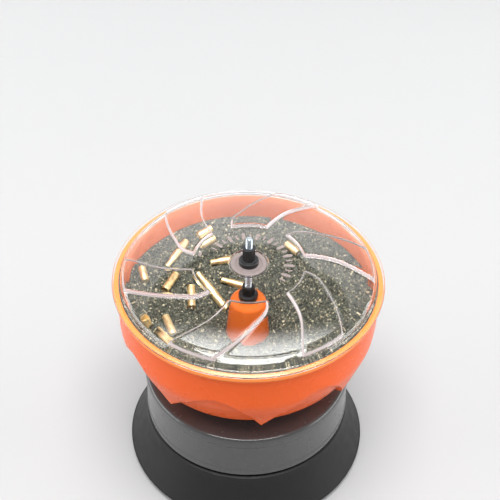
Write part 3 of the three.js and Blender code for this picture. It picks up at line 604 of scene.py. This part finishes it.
def lid():
    """The vanes' sides run along columns of the mesh, so that the steps stay crisp."""
    side_steps, plain_steps, pitch_angle = np.linspace(-1, 1, 9), 14, 360 / VANES

    # middle azimuth, tables at the start and end of the stretch, turn between them, place in the stretch
    # and share of the vane's height
    columns = []
    for k in range(VANES):
        centre = VANE_FIRST + pitch_angle * k
        for table, sign in ((VANE_TRAILING, 1), (VANE_LEADING, -1)):
            for side in side_steps:
                columns.append((centre, table, table, 0.0, side, 0.5 + sign * side / 2))
            other, span = (VANE_LEADING, 0) if sign > 0 else (VANE_TRAILING, pitch_angle)
            for n in range(1, plain_steps):
                columns.append((centre, table, other, span, n / plain_steps, 1.0 if sign > 0 else 0.0))

    def azimuth(column, r):
        centre, table, other, span, share, _ = column
        inset = math.degrees(STEP_HALF_WIDTH / max(r, 40))
        if other is table:
            return centre + smooth_curve(table, r) + share * inset
        start, end = smooth_curve(table, r) + inset, smooth_curve(other, r) + span - inset
        return centre + start + (end - start) * share

    inner_end = VANE_INNER - END_HALF_WIDTH, VANE_INNER + END_HALF_WIDTH
    outer_end = VANE_OUTER - END_HALF_WIDTH, VANE_OUTER + END_HALF_WIDTH
    rings = [ROD_HOLE, 4.6, 12, 19, *np.linspace(20.2, 22.6, 9), 24, 30, 40, 50, 57, 60.4]
    rings += [*np.linspace(*inner_end, 7), *np.linspace(65, 134, 32), 135.4, *np.linspace(*outer_end, 6)]
    upper = []
    for r in rings:
        end = smoothstep(r, *inner_end) * (1 - smoothstep(r, *outer_end))
        sunk = HUB_SINK * (1 - smoothstep(r, 20.4, 22.4))
        upper.append((r, smooth_curve(LID_DOME, r) - sunk, end * VANE_HEIGHT))
    lower = [(r, rise, 0.0) for r, rise in FLANGE_UNDER]
    for r, rise, vane in reversed(upper):
        if r < outer_end[1]:
            lower.append((r - (0.9 if r > 130 else 0.0), rise - LID_THICKNESS, vane))
    loop = upper + [(r, rise, 0.0) for r, rise in LID_SKIRT] + lower

    points, edge = [], []
    for r, rise, vane in loop:
        height = vane / VANE_HEIGHT
        end = (4 * height * (1 - height)) ** 2
        for column in columns:
            share = column[5]
            points.append((*polar(r, azimuth(column, r)), RIM_Z + rise + vane * smoothstep(share, 0, 1)))
            # 1 on the vanes' steps and ends: where the clear material paints its pale pink highlight
            side = (4 * share * (1 - share)) ** 2 * min(1.0, height)
            edge.append(min(1.0, side + end * (share > 0.5)))
    faces = grid_faces(len(loop), len(columns), True)
    made = piece("lid", "clear", points, faces, "clear_plastic", "cover", sharp=None)
    painted(made, "edge", edge)


lid()


def hub_bar(radius_in, radius_out, azimuth, half_width):
    """A raised mark with blunt ends, longest along the radius, on the lid's flat centre."""
    z0, height, corners = RIM_Z + 19.45, 0.35, 40
    cx, cy = polar((radius_in + radius_out) / 2, azimuth)
    half_length = (radius_out - radius_in) / 2
    along, across = Vector(polar(1, azimuth)), Vector(polar(1, azimuth + 90))
    points = []
    for z, share in ((z0, 1.0), (z0 + height, 0.93)):
        for t in circle(corners):
            u = math.copysign(abs(math.cos(t)) ** 0.45, math.cos(t)) * half_length * share
            v = math.copysign(abs(math.sin(t)) ** 0.7, math.sin(t)) * half_width * share
            points.append((cx + along.x * u + across.x * v, cy + along.y * u + across.y * v, z))
    faces = grid_faces(2, corners, False)
    faces += [list(range(corners))[::-1], list(range(corners, 2 * corners))]
    return np.array(points), faces


def hub_marks():
    """A plain ring of frosted ticks and one oval gate mark, moulded on the lid round its washer."""
    ticks, start, sweep = 19, 150, 185
    bars = []
    for k in range(ticks):
        azimuth = start - k * sweep / (ticks - 1)
        bars.append(hub_bar(38.5, 50.0, azimuth, 2.1) if k % 2 else hub_bar(40.5, 48.0, azimuth, 1.2))
    bars.append(hub_bar(53.5, 57.0, 166, 3.6))
    piece("lid", "hub_marks", *merged(bars), "frosted_mark", "cover", replaces=False)


hub_marks()

# ---- Clamp nuts, washers, rod and lock nuts ----


def clamp_nut(node, body):
    """A black knob: a lipped flange under a neck with a thin collar at its top."""
    z, top = low(node), high(node)
    outline = [(ROD_HOLE, z), (10.9, z, 0.3), (10.9, z + 4.7, 0.7), (10.1, z + 5.7, 0.6), (8.8, z + 5.3, 0.5)]
    outline += [(7.3, z + 4.9, 0.7), (6.7, z + 6.4, 0.8), (6.6, top - 2.6, 0.4), (7.1, top - 1.9, 0.3)]
    outline += [(7.1, top, 0.5), (ROD_HOLE, top, 0.3)]
    points, faces = revolved(outline, 96)
    r, angle = np.hypot(points[:, 0], points[:, 1]), np.arctan2(points[:, 1], points[:, 0])
    neck = (r > 6) & (points[:, 2] > z + 6.2) & (points[:, 2] < top - 2.3)
    rib = np.where(neck, 0.22 * np.cos(24 * angle), 0.0)
    points[:, :2] *= ((r + rib) / r)[:, None]
    piece(node, "knob", points, faces, "black_plastic", body)


clamp_nut("lid_nut", "cover_nut")
clamp_nut("bowl_nut", "tub_nut")

z = low("lid_washer")  # dished, with a groove between the rim and the hub
washer = [(ROD_HOLE, z), (19.3, z, 0.4), (19.7, z + 0.5, 0.3), (19.7, z + 1.2, 0.4), (15.0, z + 1.6, 0.5)]
washer += [(14.0, z + 0.8, 0.4), (12.1, z + 0.8, 0.3), (11.4, z + 1.6, 0.3), (ROD_HOLE, z + 1.6)]
piece("lid_washer", "disc", *revolved(washer, 128), "frosted_plastic", "cover_washer")

z = low("bowl_washer")
washer = [(ROD_HOLE, z), (10.4, z, 0.2), (10.4, z + 1, 0.3), (ROD_HOLE, z + 1, 0.2)]
piece("bowl_washer", "disc", *revolved(washer, 96), "zinc_steel", "tub_washer")

THREAD_PITCH = 1.25
THREAD_DEPTH = 0.55


def centre_rod():
    """Rolled thread: a ridge that climbs one pitch a turn, faded out at both chamfered ends."""
    z0, z1, radius = low("centre_rod"), high("centre_rod"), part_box("centre_rod")[1].x / MM
    segments, rows_a_turn, chamfer = 28, 5, 1.6
    rows = int((z1 - z0) / THREAD_PITCH * rows_a_turn)
    angles = circle(segments)
    z = z0 + (z1 - z0) * np.arange(rows + 1)[:, None] / rows
    ridge = np.abs((z / THREAD_PITCH - angles / (2 * math.pi)) % 1 - 0.5) * 2
    inset = np.minimum(np.clip(z - z0, 0, chamfer), np.clip(z1 - z, 0, chamfer)) - 1.5
    points = around(radius + np.minimum(-THREAD_DEPTH * ridge, inset), z, angles)
    points, faces = capped(points, grid_faces(rows + 1, segments, False), segments, z0, z1)
    piece("centre_rod", "threaded", points, faces, "zinc_steel", "housing", sharp=60)


centre_rod()


def hex_nut(node, body):
    """A hexagon with its corners turned to a cone on both faces."""
    z0, z1, across, segments = low(node), high(node), 13.0, 96
    angles = circle(segments)
    flat = across / 2 / np.cos(angles % (math.pi / 3) - math.pi / 6)
    cone = across / math.sqrt(3)
    bore = [(z0 + 0.6, ROD_HOLE), (z0, 5.0)]
    outer = [(z0, 0.93 * cone), (z0 + 0.9, cone), (z1 - 0.9, cone), (z1, 0.93 * cone)]
    rings = bore + outer + [(z1, 5.0), (z1 - 0.6, ROD_HOLE)]
    z, limit = np.array(rings).T[..., None]
    points = around(np.minimum(flat, limit), z, angles)
    piece(node, "hex", points, grid_faces(len(rings), segments, True), "zinc_steel", body, sharp=22)


hex_nut("rod_nut_upper", "housing")
hex_nut("rod_nut_lower", "housing")

z0, z1 = low("bowl_seat_ring"), high("bowl_seat_ring")
seat = [(62, z0, 0.8), (78, z0, 0.8), (78, z1, 1.2)]
for r in (75, 72, 69, 66):  # shallow grooves in the top face
    seat += [(r + 0.9, z1, 0.3), (r + 0.3, z1 - 0.8, 0.3), (r - 0.3, z1 - 0.8, 0.3), (r - 0.9, z1, 0.3)]
seat += [(62, z1, 1.2)]
piece("bowl_seat_ring", "pad", *revolved(seat, 128, 3), "rubber", "housing")

# ---- Bowl ----

BOWL_WALL = 3.0
CONE_TOP = RIM_Z + GAP - low("bowl_washer")  # depths below the rim plane
BOWL_UNDER = RIM_Z - low("bowl")
WALL_END = 124.5
# depth below the rim plane, and radius
WALL = [(12, 144.3), (46, 144.7), (52, 144.5), (60, 143.2), (76, 138.3), (95, 132.8), (110, 126.1)]
WALL += [(WALL_END, 117)]
SCALLOP_BACK = [(46, 141), (60, 139), (75, 134), (88, 128.5), (98, 122), (108, 113.5), (118, 104), (129, 94)]
SCALLOPS = 8
SCALLOP_PEAK = -103.5  # azimuth of the first scallop's highest point
SCALLOP_DROP = 46.0  # its depth
SCALLOP_EDGE = 3.4  # height over which the wall steps in
SCALLOP_FADE = (70.0, 105.0)  # radii between which the step runs out under the floor


def scallop_step(azimuth, depth, radius):
    """How far the wall steps in. A scallop's edge falls gently to one side and steeply to the other."""
    if depth < SCALLOP_DROP - 1 or radius < SCALLOP_FADE[0]:
        return 0.0
    full = smooth_curve(WALL, min(depth, WALL_END)) - smooth_curve(SCALLOP_BACK, depth)
    pitch_angle = 360 / SCALLOPS
    local = (azimuth - SCALLOP_PEAK) % pitch_angle
    share = 0.0
    for angle in (local - 2 * pitch_angle, local - pitch_angle, local):
        if -34 < angle < 24:
            fall = 66 * (-angle / 30) ** 1.5 if angle < 0 else 23 * (angle / 14) ** 2
            share = max(share, smoothstep(depth - SCALLOP_DROP - fall, 0, SCALLOP_EDGE))
    return full * share * smoothstep(radius, *SCALLOP_FADE)


def bowl():
    columns = 480
    depths = [*np.linspace(14, 44, 7), *np.arange(45.5, 124.6, 1.6), WALL_END]
    wall = [(smooth_curve(WALL, depth), depth) for depth in depths]
    floor = BOWL_UNDER - BOWL_WALL
    cone = [(ROD_HOLE, CONE_TOP), (16.6, CONE_TOP), (20.3, CONE_TOP + 4, 3.5), (24.5, 85)]
    inside = rounded([*cone, (29, floor - 4, 4), (36, floor, 4)])
    inside += [(r, floor) for r in (52, 70, 76, 82, 88, 94, 100, 105)]
    inside += [(109, floor - 0.3), (112.2, floor - 0.9)]
    inside += [(r - BOWL_WALL, depth) for r, depth in reversed(wall)]
    rim = [(142.2, 3.2), (142.6, 1.3, 1.0), (147.6, 1.3, 1.4), (147.6, 8.0, 0.8), (145.0, 9.6, 1.0)]
    inside += rounded([*rim, (144.3, 12)])
    outside = wall + [(115.2, BOWL_UNDER - 2.2), (112.0, BOWL_UNDER - 0.4)]
    outside += [(r, BOWL_UNDER) for r in (108, 104, 99, 93, 87, 81, 75, 70, 52, 36)]
    cone_top = CONE_TOP + BOWL_WALL
    outside += rounded([(27.5, BOWL_UNDER, 2), (21.5, 85), (17.3, cone_top, 2), (ROD_HOLE, cone_top)])
    points, painted_sheen = [], []
    for k, (r, depth) in enumerate(inside + outside):
        for azimuth in SCALLOP_PEAK + np.arange(columns) * 360 / columns:
            points.append((*polar(r - scallop_step(azimuth, depth, r), azimuth), RIM_Z - depth))
        # 1 on the rim's lip, 0.5 inside, 0 outside: where the material paints its paler orange as painted
        # reflection and haze from the lid
        painted_sheen += [1.0 if depth < 10 and r > 140 else 0.5 if k < len(inside) else 0.0] * columns
    faces = grid_faces(len(inside + outside), columns, True)
    made = piece("bowl", "scalloped", points, faces, "orange_plastic", "tub")
    painted(made, "painted_sheen", painted_sheen)


bowl()

# ---- Media and spent cases ----

MEDIA_OUTER, MEDIA_INNER, CONE_RADIUS = 140.9, 24.8, 24.5
MEDIA_EDGE_Z, MEDIA_CENTRE_Z = 232.0, 180.0
MEDIA_SLOPE = (MEDIA_EDGE_Z - MEDIA_CENTRE_Z) / (MEDIA_OUTER - CONE_RADIUS)
GRAINS = 17000

# kind: length, radius, neck radius or None
KINDS = {
    "rifle_long": (54, 5.2, 3.6),
    "rifle_short": (45, 4.8, 3.2),
    "carbine": (34, 4.6, 3.3),
    "revolver": (29, 4.8, None),
    "pistol": (19.5, 4.9, None),
}
# kind, radius and azimuth of the middle, and the heading of the mouth, or None where it stands
CASES = [
    ("rifle_long", 62, 134, 134),
    ("rifle_short", 117, 137, 242),
    ("pistol", 127, 115, 218),
    ("pistol", 115, 115.5, 219),
    ("carbine", 89, 109, 196),
    ("pistol", 127, 162, 107),
    ("revolver", 99, 156, 247),
    ("revolver", 72, 156, 274),
    ("carbine", 60, 105, 170),
    ("revolver", 91, 197, 112),
    ("carbine", 104, 210, 121),
    ("pistol", 118, 198, None),
    ("pistol", 110, 62, 135),
]


def media_height(r):
    return MEDIA_EDGE_Z - MEDIA_SLOPE * (MEDIA_OUTER - r)


def case_line(radius, azimuth, heading):
    """Middle and direction of a case as it lies on the slope, or stands in it."""
    x, y = polar(radius, azimuth)
    if heading is None:
        return Vector((x, y, media_height(radius) + 2)), Vector((0, 0, 1))
    rise = MEDIA_SLOPE * math.cos(math.radians(heading - azimuth))
    return Vector((x, y, media_height(radius) + 1)), Vector((*polar(1, heading), rise)).normalized()


def spent_cases():
    """Fired cases with a primer, a rimmed head, a hollow and, on rifle cases, a shoulder and a neck."""
    for i, (kind, radius, azimuth, heading) in enumerate(CASES):
        length, thick, neck = KINDS[kind]
        mouth, groove = neck or thick - 0.15, thick - 0.75
        primer = [(0, 0.5), (1.1, 0.5, 0.2), (2.1, 0.25, 0.1), (2.3, 0.4, 0.1), (2.45, 0, 0.1)]
        head = [(thick - 0.3, 0, 0.2), (thick, 0.35, 0.2), (thick, 1.2, 0.15), (groove, 1.45, 0.15)]
        head += [(groove, 2.2, 0.2), (thick - 0.1, 3.1, 0.5)]
        side, cavity = [], []
        if neck:
            side = [(thick - 0.25, length * 0.68, 1.2), (neck + 0.05, length * 0.79, 1.2)]
            cavity = [(mouth - 0.45, length * 0.79, 1.0), (thick - 0.8, length * 0.67, 1.0)]
        cavity += [(thick - 1.0, 6, 1.5), (0.9, 4.2, 0.4), (0, 4.2)]
        outline = [*primer, *head, *side, (mouth, length, 0.2), (mouth - 0.4, length, 0.15), *cavity]
        centre, direction = case_line(radius, azimuth, heading)
        turn = Vector((0, 0, 1)).rotation_difference(direction).to_matrix().to_4x4()
        place = Matrix.Translation(centre * MM) @ turn @ Matrix.Translation((0, 0, -length / 2 * MM))
        part = revolved(outline, 40, 3)
        node = f"spent_case_{i + 1}"
        piece(node, "brass", *part, "cartridge_brass", "tub", sharp=40, matrix=place)


spent_cases()


def grains(count):
    """Angular grains strewn on the funnel, none inside a case, as points, faces and tones."""
    r = np.sqrt(RNG.uniform((MEDIA_INNER + 0.6) ** 2, (MEDIA_OUTER - 0.7) ** 2, count))
    a = RNG.uniform(0, 2 * math.pi, count)
    centre = around(r, media_height(r) + RNG.uniform(-0.7, 0.45, count), a)
    keep = np.ones(count, bool)
    for kind, radius, azimuth, heading in CASES:
        length, thick, _ = KINDS[kind]
        case, direction = (np.array(v) for v in case_line(radius, azimuth, heading))
        along = (centre - case) @ direction
        side = np.linalg.norm(centre - case - along[:, None] * direction, axis=1)
        keep &= (np.abs(along) > length / 2 + 0.4) | (side > thick + 0.2)
    centre = centre[keep]
    count = len(centre)
    corners = np.array([(1, 0, 0), (-1, 0, 0), (0, 1, 0), (0, -1, 0), (0, 0, 1), (0, 0, -1)], float)
    size = np.clip(RNG.lognormal(-0.02, 0.34, count), 0.45, 1.8)[:, None, None]
    shape = corners * RNG.uniform(0.55, 1.15, (count, 6, 1)) + RNG.uniform(-0.22, 0.22, (count, 6, 3))
    turn = RNG.normal(size=(count, 1, 4))  # a random quaternion each
    turn /= np.linalg.norm(turn, axis=2, keepdims=True)
    w, axis = turn[..., :1], turn[..., 1:]
    swing = np.cross(axis, shape)
    points = centre[:, None] + size * (shape + 2 * (w * swing + np.cross(axis, swing)))
    sides = [(0, 2, 4), (2, 1, 4), (1, 3, 4), (3, 0, 4), (2, 0, 5), (1, 2, 5), (3, 1, 5), (0, 3, 5)]
    faces = (np.array(sides) + 6 * np.arange(count)[:, None, None]).reshape(-1, 3)
    tone = np.repeat(RNG.uniform(0, 1, count), 6)
    return points.reshape(-1, 3), faces.tolist(), tone


def heap():
    """The funnel under the grains, cut short of the bowl, with a bed pressed in it for each case."""
    columns, rows = 240, 90
    angles = circle(columns)
    r = np.linspace(MEDIA_OUTER, MEDIA_INNER, rows)[:, None]
    lumps = 0.35 * np.sin(0.21 * r + 5 * np.sin(angles)) * np.cos(9 * angles + 0.13 * r)
    top = around(r, media_height(r) - 0.7 + lumps, angles)
    for kind, radius, azimuth, heading in CASES:
        length, thick, _ = KINDS[kind]
        case, direction = case_line(radius, azimuth, heading)
        x, y, z = (top - np.array(case)).T
        if heading is None:
            top[np.hypot(x, y) < thick + 1, 2] -= 4
            continue
        along, side = x * direction.x + y * direction.y, np.abs(y * direction.x - x * direction.y)
        bed = along * direction.z - np.sqrt(np.maximum(0, (thick + 0.4) ** 2 - side**2))
        under = (np.abs(along) < length / 2 + 1) & (side < thick + 1)
        top[under, 2] = case.z + np.minimum(z, bed)[under]
    bottom = [(31, 139.5), (79, 139.5), (94, 155), (115.5, 177), (129.5, 205), (131.5, 214.5)]
    bottom += [(MEDIA_OUTER, 223)]
    r, z = np.array(bottom).T[..., None]
    return np.vstack([top, around(r, z, angles)]), grid_faces(rows + len(bottom), columns, True)


def media():
    below = heap()
    points, faces, tone = grains(GRAINS)
    points, faces = merged([below, (points, faces)])
    made = piece("polishing_media", "grains", points, faces, "crushed_media", "tub", sharp=25)
    painted(made, "tone", [0.0] * len(below[0]) + np.maximum(tone, 0.02).tolist())


media()

# ---- Motor housing and springs ----

SPRING_CIRCLE = 97.0
spring_places = [polar(SPRING_CIRCLE, 90 * k) for k in range(4)]


def peg(z0, z1):
    """A locating peg with a rounded end for a coil spring, from its root at z0 to its end at z1."""
    return revolved([(0, z0), (6, z0, 0.1), (6, z1, 1.6), (0, z1)], 40)


def motor_housing():
    """The drum: a stepped seat on top, a bead round its lower edge and four pegs for the springs."""
    r, z0, z1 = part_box("motor_housing")[1].x / MM, low("motor_housing"), high("motor_housing")
    drum = [(ROD_HOLE, z1), (56, z1, 0.6), (58, z1 - 0.8, 0.6), (82, z1 - 0.8, 0.6), (84, z1, 0.6)]
    drum += [(r - 0.2, z1, 5), (r - 0.2, z1 - 12, 1), (r - 0.8, z1 - 14, 1), (r - 0.8, z0 + 9, 1)]
    drum += [(r, z0 + 7, 1), (r, z0, 0.6), (r - 1.8, z0, 0.4), (r - 1.8, z0 + 8, 1), (r - 2.6, z0 + 10, 1)]
    drum += [(r - 2.6, z1 - 4, 2), (r - 5, z1 - 2, 1), (ROD_HOLE, z1 - 2)]
    pegs = [placed(peg(z1 - 1.9, z1 - 10), x, y) for x, y in spring_places]
    points, faces = merged([revolved(drum, 192), *pegs])
    piece("motor_housing", "drum", points, faces, "housing_paint", "housing")


motor_housing()

BOLT_CIRCLE = 42.0


def socket_bolt(node, x, y):
    """A cap screw with a round head and a hexagon socket."""
    z0, z1 = low(node), high(node)
    head = z1 - 3.2
    outline = [(0, z0), (2.5, z0, 0.4), (2.5, head, 0.2), (4.6, head, 0.3), (4.6, z1, 0.6), (2.3, z1, 0.2)]
    outline += [(2.1, z1 - 1.8, 0.1), (0, z1 - 2.0)]
    points, faces = revolved(outline, 48)
    r, angle = np.hypot(points[:, 0], points[:, 1]), np.arctan2(points[:, 1], points[:, 0])
    hexagon = 2.0 / np.cos(angle % (math.pi / 3) - math.pi / 6)
    socket = (points[:, 2] > z1 - 2.1) & (r < 2.35) & (r > 1)
    points[:, :2] *= np.where(socket, hexagon / np.maximum(r, 1e-6), 1.0)[:, None]
    piece(node, "cap", points + (x, y, 0), faces, "zinc_steel", "housing")


for k in range(4):
    socket_bolt(f"motor_bolt_{k + 1}", *polar(BOLT_CIRCLE, 45 + 90 * k))


def coil_spring(node, x, y):
    """Round wire in closed and ground end turns with open turns between them."""
    z0, z1 = low(node), high(node)
    wire, radius, turns, sides = 1.25, 9.0, 6.0, 12
    steps = int(turns * 28)
    angles = np.linspace(0, 2 * math.pi * turns, steps + 1)
    turn = angles / (2 * math.pi)
    closed = 2.1 * wire
    open_rise = z1 - z0 - 2 * wire - 2 * closed
    climb = closed * (np.minimum(turn, 1) + np.clip(turn - turns + 1, 0, 1))
    climb += open_rise * np.clip((turn - 1) / (turns - 2), 0, 1)
    centre = around(radius, z0 + wire + climb, angles)
    tangent = np.gradient(centre, axis=0)
    tangent /= np.linalg.norm(tangent, axis=1)[:, None]
    outwards = around(1, 0, angles)
    upwards = np.cross(outwards, tangent)
    section = circle(sides)[None, :, None]
    ring = outwards[:, None] * np.cos(section) + upwards[:, None] * np.sin(section)
    points = (centre[:, None] + wire * ring).reshape(-1, 3)
    points[:, 2] = np.clip(points[:, 2], z0, z1)
    faces = grid_faces(steps + 1, sides, False)
    faces += [list(range(sides)), list(range(steps * sides, (steps + 1) * sides))[::-1]]
    made = shown(node, "coil", points + (x, y, 0), faces, "spring_steel", sharp=50)
    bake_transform(made)


for k, place in enumerate(spring_places):
    coil_spring(f"suspension_spring_{k + 1}", *place)

# ---- Base ----

BASE_LOW = low("base_shell")
PEG_HEIGHT = 8.0
DECK_Z = high("base_shell") - PEG_HEIGHT  # the springs stand on it
FLARE = [(8, 143), (24, 135), (40, 127.5), (54, 122), (62, 120.6)]  # height, and radius
BOX_HALF_WIDTH, BOX_Y, BOX_TOP = 36.0, 142.0, 48.0  # the box at the back
SWITCH, GLAND = middle("switch_bezel"), middle("cord_gland")
FOOT_CIRCLE = 126.0
foot_places = [polar(FOOT_CIRCLE, 45 + 90 * k) for k in range(4)]


def block(x0, x1, y0, y1, z0, z1, corner, edge):
    """A box whose four upright corners and outer edges are rounded."""
    levels = [(z0, edge), (z0 + edge * 0.3, edge * 0.3), (z0 + edge, 0)]
    levels += [(z1 - edge, 0), (z1 - edge * 0.3, edge * 0.3), (z1, edge)]
    corners = ((x1 - corner, y1 - corner), (x0 + corner, y1 - corner))
    corners += ((x0 + corner, y0 + corner), (x1 - corner, y0 + corner))
    points = []
    for z, inset in levels:
        for quarter, (x, y) in enumerate(corners):
            for k in range(7):
                dx, dy = polar(corner - inset, 90 * quarter + 15 * k)
                points.append((x + dx, y + dy, z))
    n = len(points) // len(levels)
    faces = grid_faces(len(levels), n, False)
    faces += [list(range(n))[::-1], list(range(len(points) - n, len(points)))]
    return np.array(points), faces


def along_y(part, x, y, z):
    """Lays a piece made along +Z so that it runs along +Y from the given place."""
    points, faces = part
    return np.stack([points[:, 0] + x, points[:, 2] + y, z - points[:, 1]], -1), faces


def combined(part, steps):
    """A part after exact booleans with each (operation, part) in turn, as points and faces."""
    base = in_scene("base", mesh_from("base", *part))
    for operation, other in steps:
        tool = in_scene("tool", mesh_from("tool", *other))
        modifier = base.modifiers.new("cut", "BOOLEAN")
        modifier.operation, modifier.solver, modifier.object = operation, "EXACT", tool
        bpy.context.view_layer.update()
        result = bpy.data.meshes.new_from_object(base.evaluated_get(bpy.context.evaluated_depsgraph_get()))
        base.modifiers.clear()
        base.data = result
        bpy.data.objects.remove(tool)
    points = np.array([tuple(v.co) for v in base.data.vertices]) / MM
    faces = [list(p.vertices) for p in base.data.polygons]
    bpy.data.objects.remove(base)
    return points, faces


def base_shell():
    """The flared foot, with a box at the back, four pillars for the foot screws and four spring pegs."""
    flare = [(smooth_curve(FLARE, z), z) for z in np.linspace(11, 60.5, 18)]
    outside = [(139.7, BASE_LOW, 0.4), (143, BASE_LOW, 0.5), (143, BASE_LOW + 2.2, 0.8)]
    deck = [(120.4, DECK_Z, 1.4), (72, DECK_Z, 0.8), (72, DECK_Z - 3, 0.4), (117, DECK_Z - 3, 1.0)]
    inside = [(smooth_curve(FLARE, z) - 3.2, z) for z in np.linspace(55, 12, 10)]
    shell = revolved([*rounded(outside), *flare, *rounded(deck), *inside], 192)

    w = BOX_HALF_WIDTH
    steps = [("UNION", block(-w, w, 104, BOX_Y, BASE_LOW, BOX_TOP, 3.0, 1.2))]
    # the pillars are first cut to stay behind the flare's outer face
    inner = [(r - 1, z) for r, z in flare]
    envelope = revolved([(0, BASE_LOW + 0.02), (141, BASE_LOW + 0.02), *inner, (0, DECK_Z - 0.5)], 96)
    z0, z1 = BASE_LOW + 0.05, DECK_Z - 1
    pillar = revolved([(0, z0), (7, z0, 0.3), (7, z1, 0.3), (0, z1)], 40)
    for x, y in foot_places:
        steps += [("UNION", combined(placed(pillar, x, y), [("INTERSECT", envelope)]))]
    steps += [("UNION", placed(peg(DECK_Z - 1, DECK_Z + PEG_HEIGHT), x, y)) for x, y in spring_places]

    steps += [("DIFFERENCE", block(3 - w, w - 3, 90, BOX_Y - 3, BASE_LOW - 6, BOX_TOP - 3, 2.0, 0.5))]
    screw_hole = revolved([(0, BASE_LOW - 4), (2.3, BASE_LOW - 4), (2.3, 26), (0, 26)], 24)
    steps += [("DIFFERENCE", placed(screw_hole, x, y)) for x, y in foot_places]
    x, z = SWITCH.x, SWITCH.z
    steps += [("DIFFERENCE", block(x - 7, x + 7, BOX_Y - 9, BOX_Y + 3, z - 10, z + 10, 0.5, 0.1))]
    round_hole = revolved([(0, 0), (7.3, 0), (7.3, 12), (0, 12)], 48)
    steps += [("DIFFERENCE", along_y(round_hole, GLAND.x, BOX_Y - 7, GLAND.z))]
    points, faces = combined(shell, steps)
    piece("base_shell", "flared", points, faces, "base_plastic", "base", sharp=30)


base_shell()

foot = [(4.8, 0, 0.3), (9.6, 0, 0.8), (10.2, 1.4, 0.8), (11, 5.2, 0.5)]
foot += [(2.3, 5.2), (2.3, 3.3), (4.8, 3.3, 0.2)]
foot_screw = [(0, 1.7), (0.9, 1.6, 0.2), (1.5, 0.8, 0.2), (3.4, 0.8, 0.8), (4.2, 1.8, 0.5), (4.2, 3, 0.2)]
foot_screw += [(2, 3, 0.1), (2, 22.4, 0.5), (0, 24.5)]
for k, (x, y) in enumerate(foot_places):
    piece(f"rubber_foot_{k + 1}", "pad", *placed(revolved(foot, 64), x, y), "rubber", "base")
    piece(f"foot_screw_{k + 1}", "pan", *placed(revolved(foot_screw, 40), x, y), "zinc_steel", "base")

gland = [(3.6, 0, 0.3), (7, 0, 0.5), (7, 6, 0.1), (10, 6.3, 0.5), (10, 8.4, 0.9), (8.2, 10, 0.9)]
gland += [(5.2, 10, 0.5), (4.6, 9.0, 0.4), (3.6, 8.6, 0.3)]
part = along_y(revolved(gland, 72), GLAND.x, BOX_Y - 6, GLAND.z)
piece("cord_gland", "sleeve", *part, "rubber", "base")

# ---- Motor internals and the pieces that keep their CAD shape ----

ROUND_PARTS = {
    "winding_upper": ("housing", "copper_winding", 29.5, 38.3),
    "winding_lower": ("housing", "copper_winding", 29.5, 38.3),
    "bearing_upper": ("housing", "spring_steel", 4.3, 11.0),
    "bearing_lower": ("housing", "spring_steel", 4.3, 11.0),
    "rotor_core": ("rotor", "laminations", 4.3, 27.4),
}
for node, (body, look, r0, r1) in ROUND_PARTS.items():
    z0, z1 = low(node), high(node)
    corner = 2.4 if "winding" in node else 0.6
    outline = [(r0, z0, corner), (r1, z0, corner), (r1, z1, corner), (r0, z1, corner)]
    if "bearing" in node:  # a groove on both faces for the ball cage
        faces_in = [(8.6, z1, 0.2), (8.3, z1 - 0.7, 0.2), (6.7, z1 - 0.7, 0.2), (6.4, z1, 0.2)]
        faces_out = [(6.4, z0, 0.2), (6.7, z0 + 0.7, 0.2), (8.3, z0 + 0.7, 0.2), (8.6, z0, 0.2)]
        outline = outline[:1] + faces_out + outline[1:3] + faces_in + outline[3:]
    piece(node, "turned", *revolved(outline, 96), look, body)

z0, z1 = low("motor_shaft"), high("motor_shaft")
shaft = [(0, z0), (4, z0, 0.6), (4, z1, 0.6), (0, z1)]
piece("motor_shaft", "ground", *revolved(shaft, 64), "spring_steel", "rotor")

KEPT = {
    "motor_bracket_upper": "cast_alloy",
    "motor_bracket_lower": "cast_alloy",
    "stator": "laminations",
    "cooling_fan": "fan_plastic",
    "eccentric_weight": "cast_iron",
    "weight_screw": "zinc_steel",
    "bottom_plate": "plate_steel",
    "switch_bezel": "black_plastic",
    "switch_rocker": "switch_red",
}
for node, look in KEPT.items():
    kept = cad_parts[node]
    kept.data.materials.clear()
    kept.data.materials.append(LOOKS[look])
    normals = kept.data.attributes.get("custom_normal")
    if normals:
        kept.data.attributes.remove(normals)
    kept.data.shade_smooth()
    weld = kept.modifiers.new("weld", "WELD")
    weld.merge_threshold = 0.02 * MM
    bevel = kept.modifiers.new("bevel", "BEVEL")
    bevel.width = (0.15 if node == "weight_screw" else 0.4) * MM
    bevel.segments = 3
    bevel.limit_method = "ANGLE"
    bevel.angle_limit = math.radians(35)
    bevel.harden_normals = True

# ---- Floor ----

floor_mesh = bpy.data.meshes.new("floor")
work = bmesh.new()
bmesh.ops.create_grid(work, x_segments=8, y_segments=8, size=12)
work.to_mesh(floor_mesh)
work.free()
floor_mesh.materials.append(studio_floor())
in_scene("floor", floor_mesh)
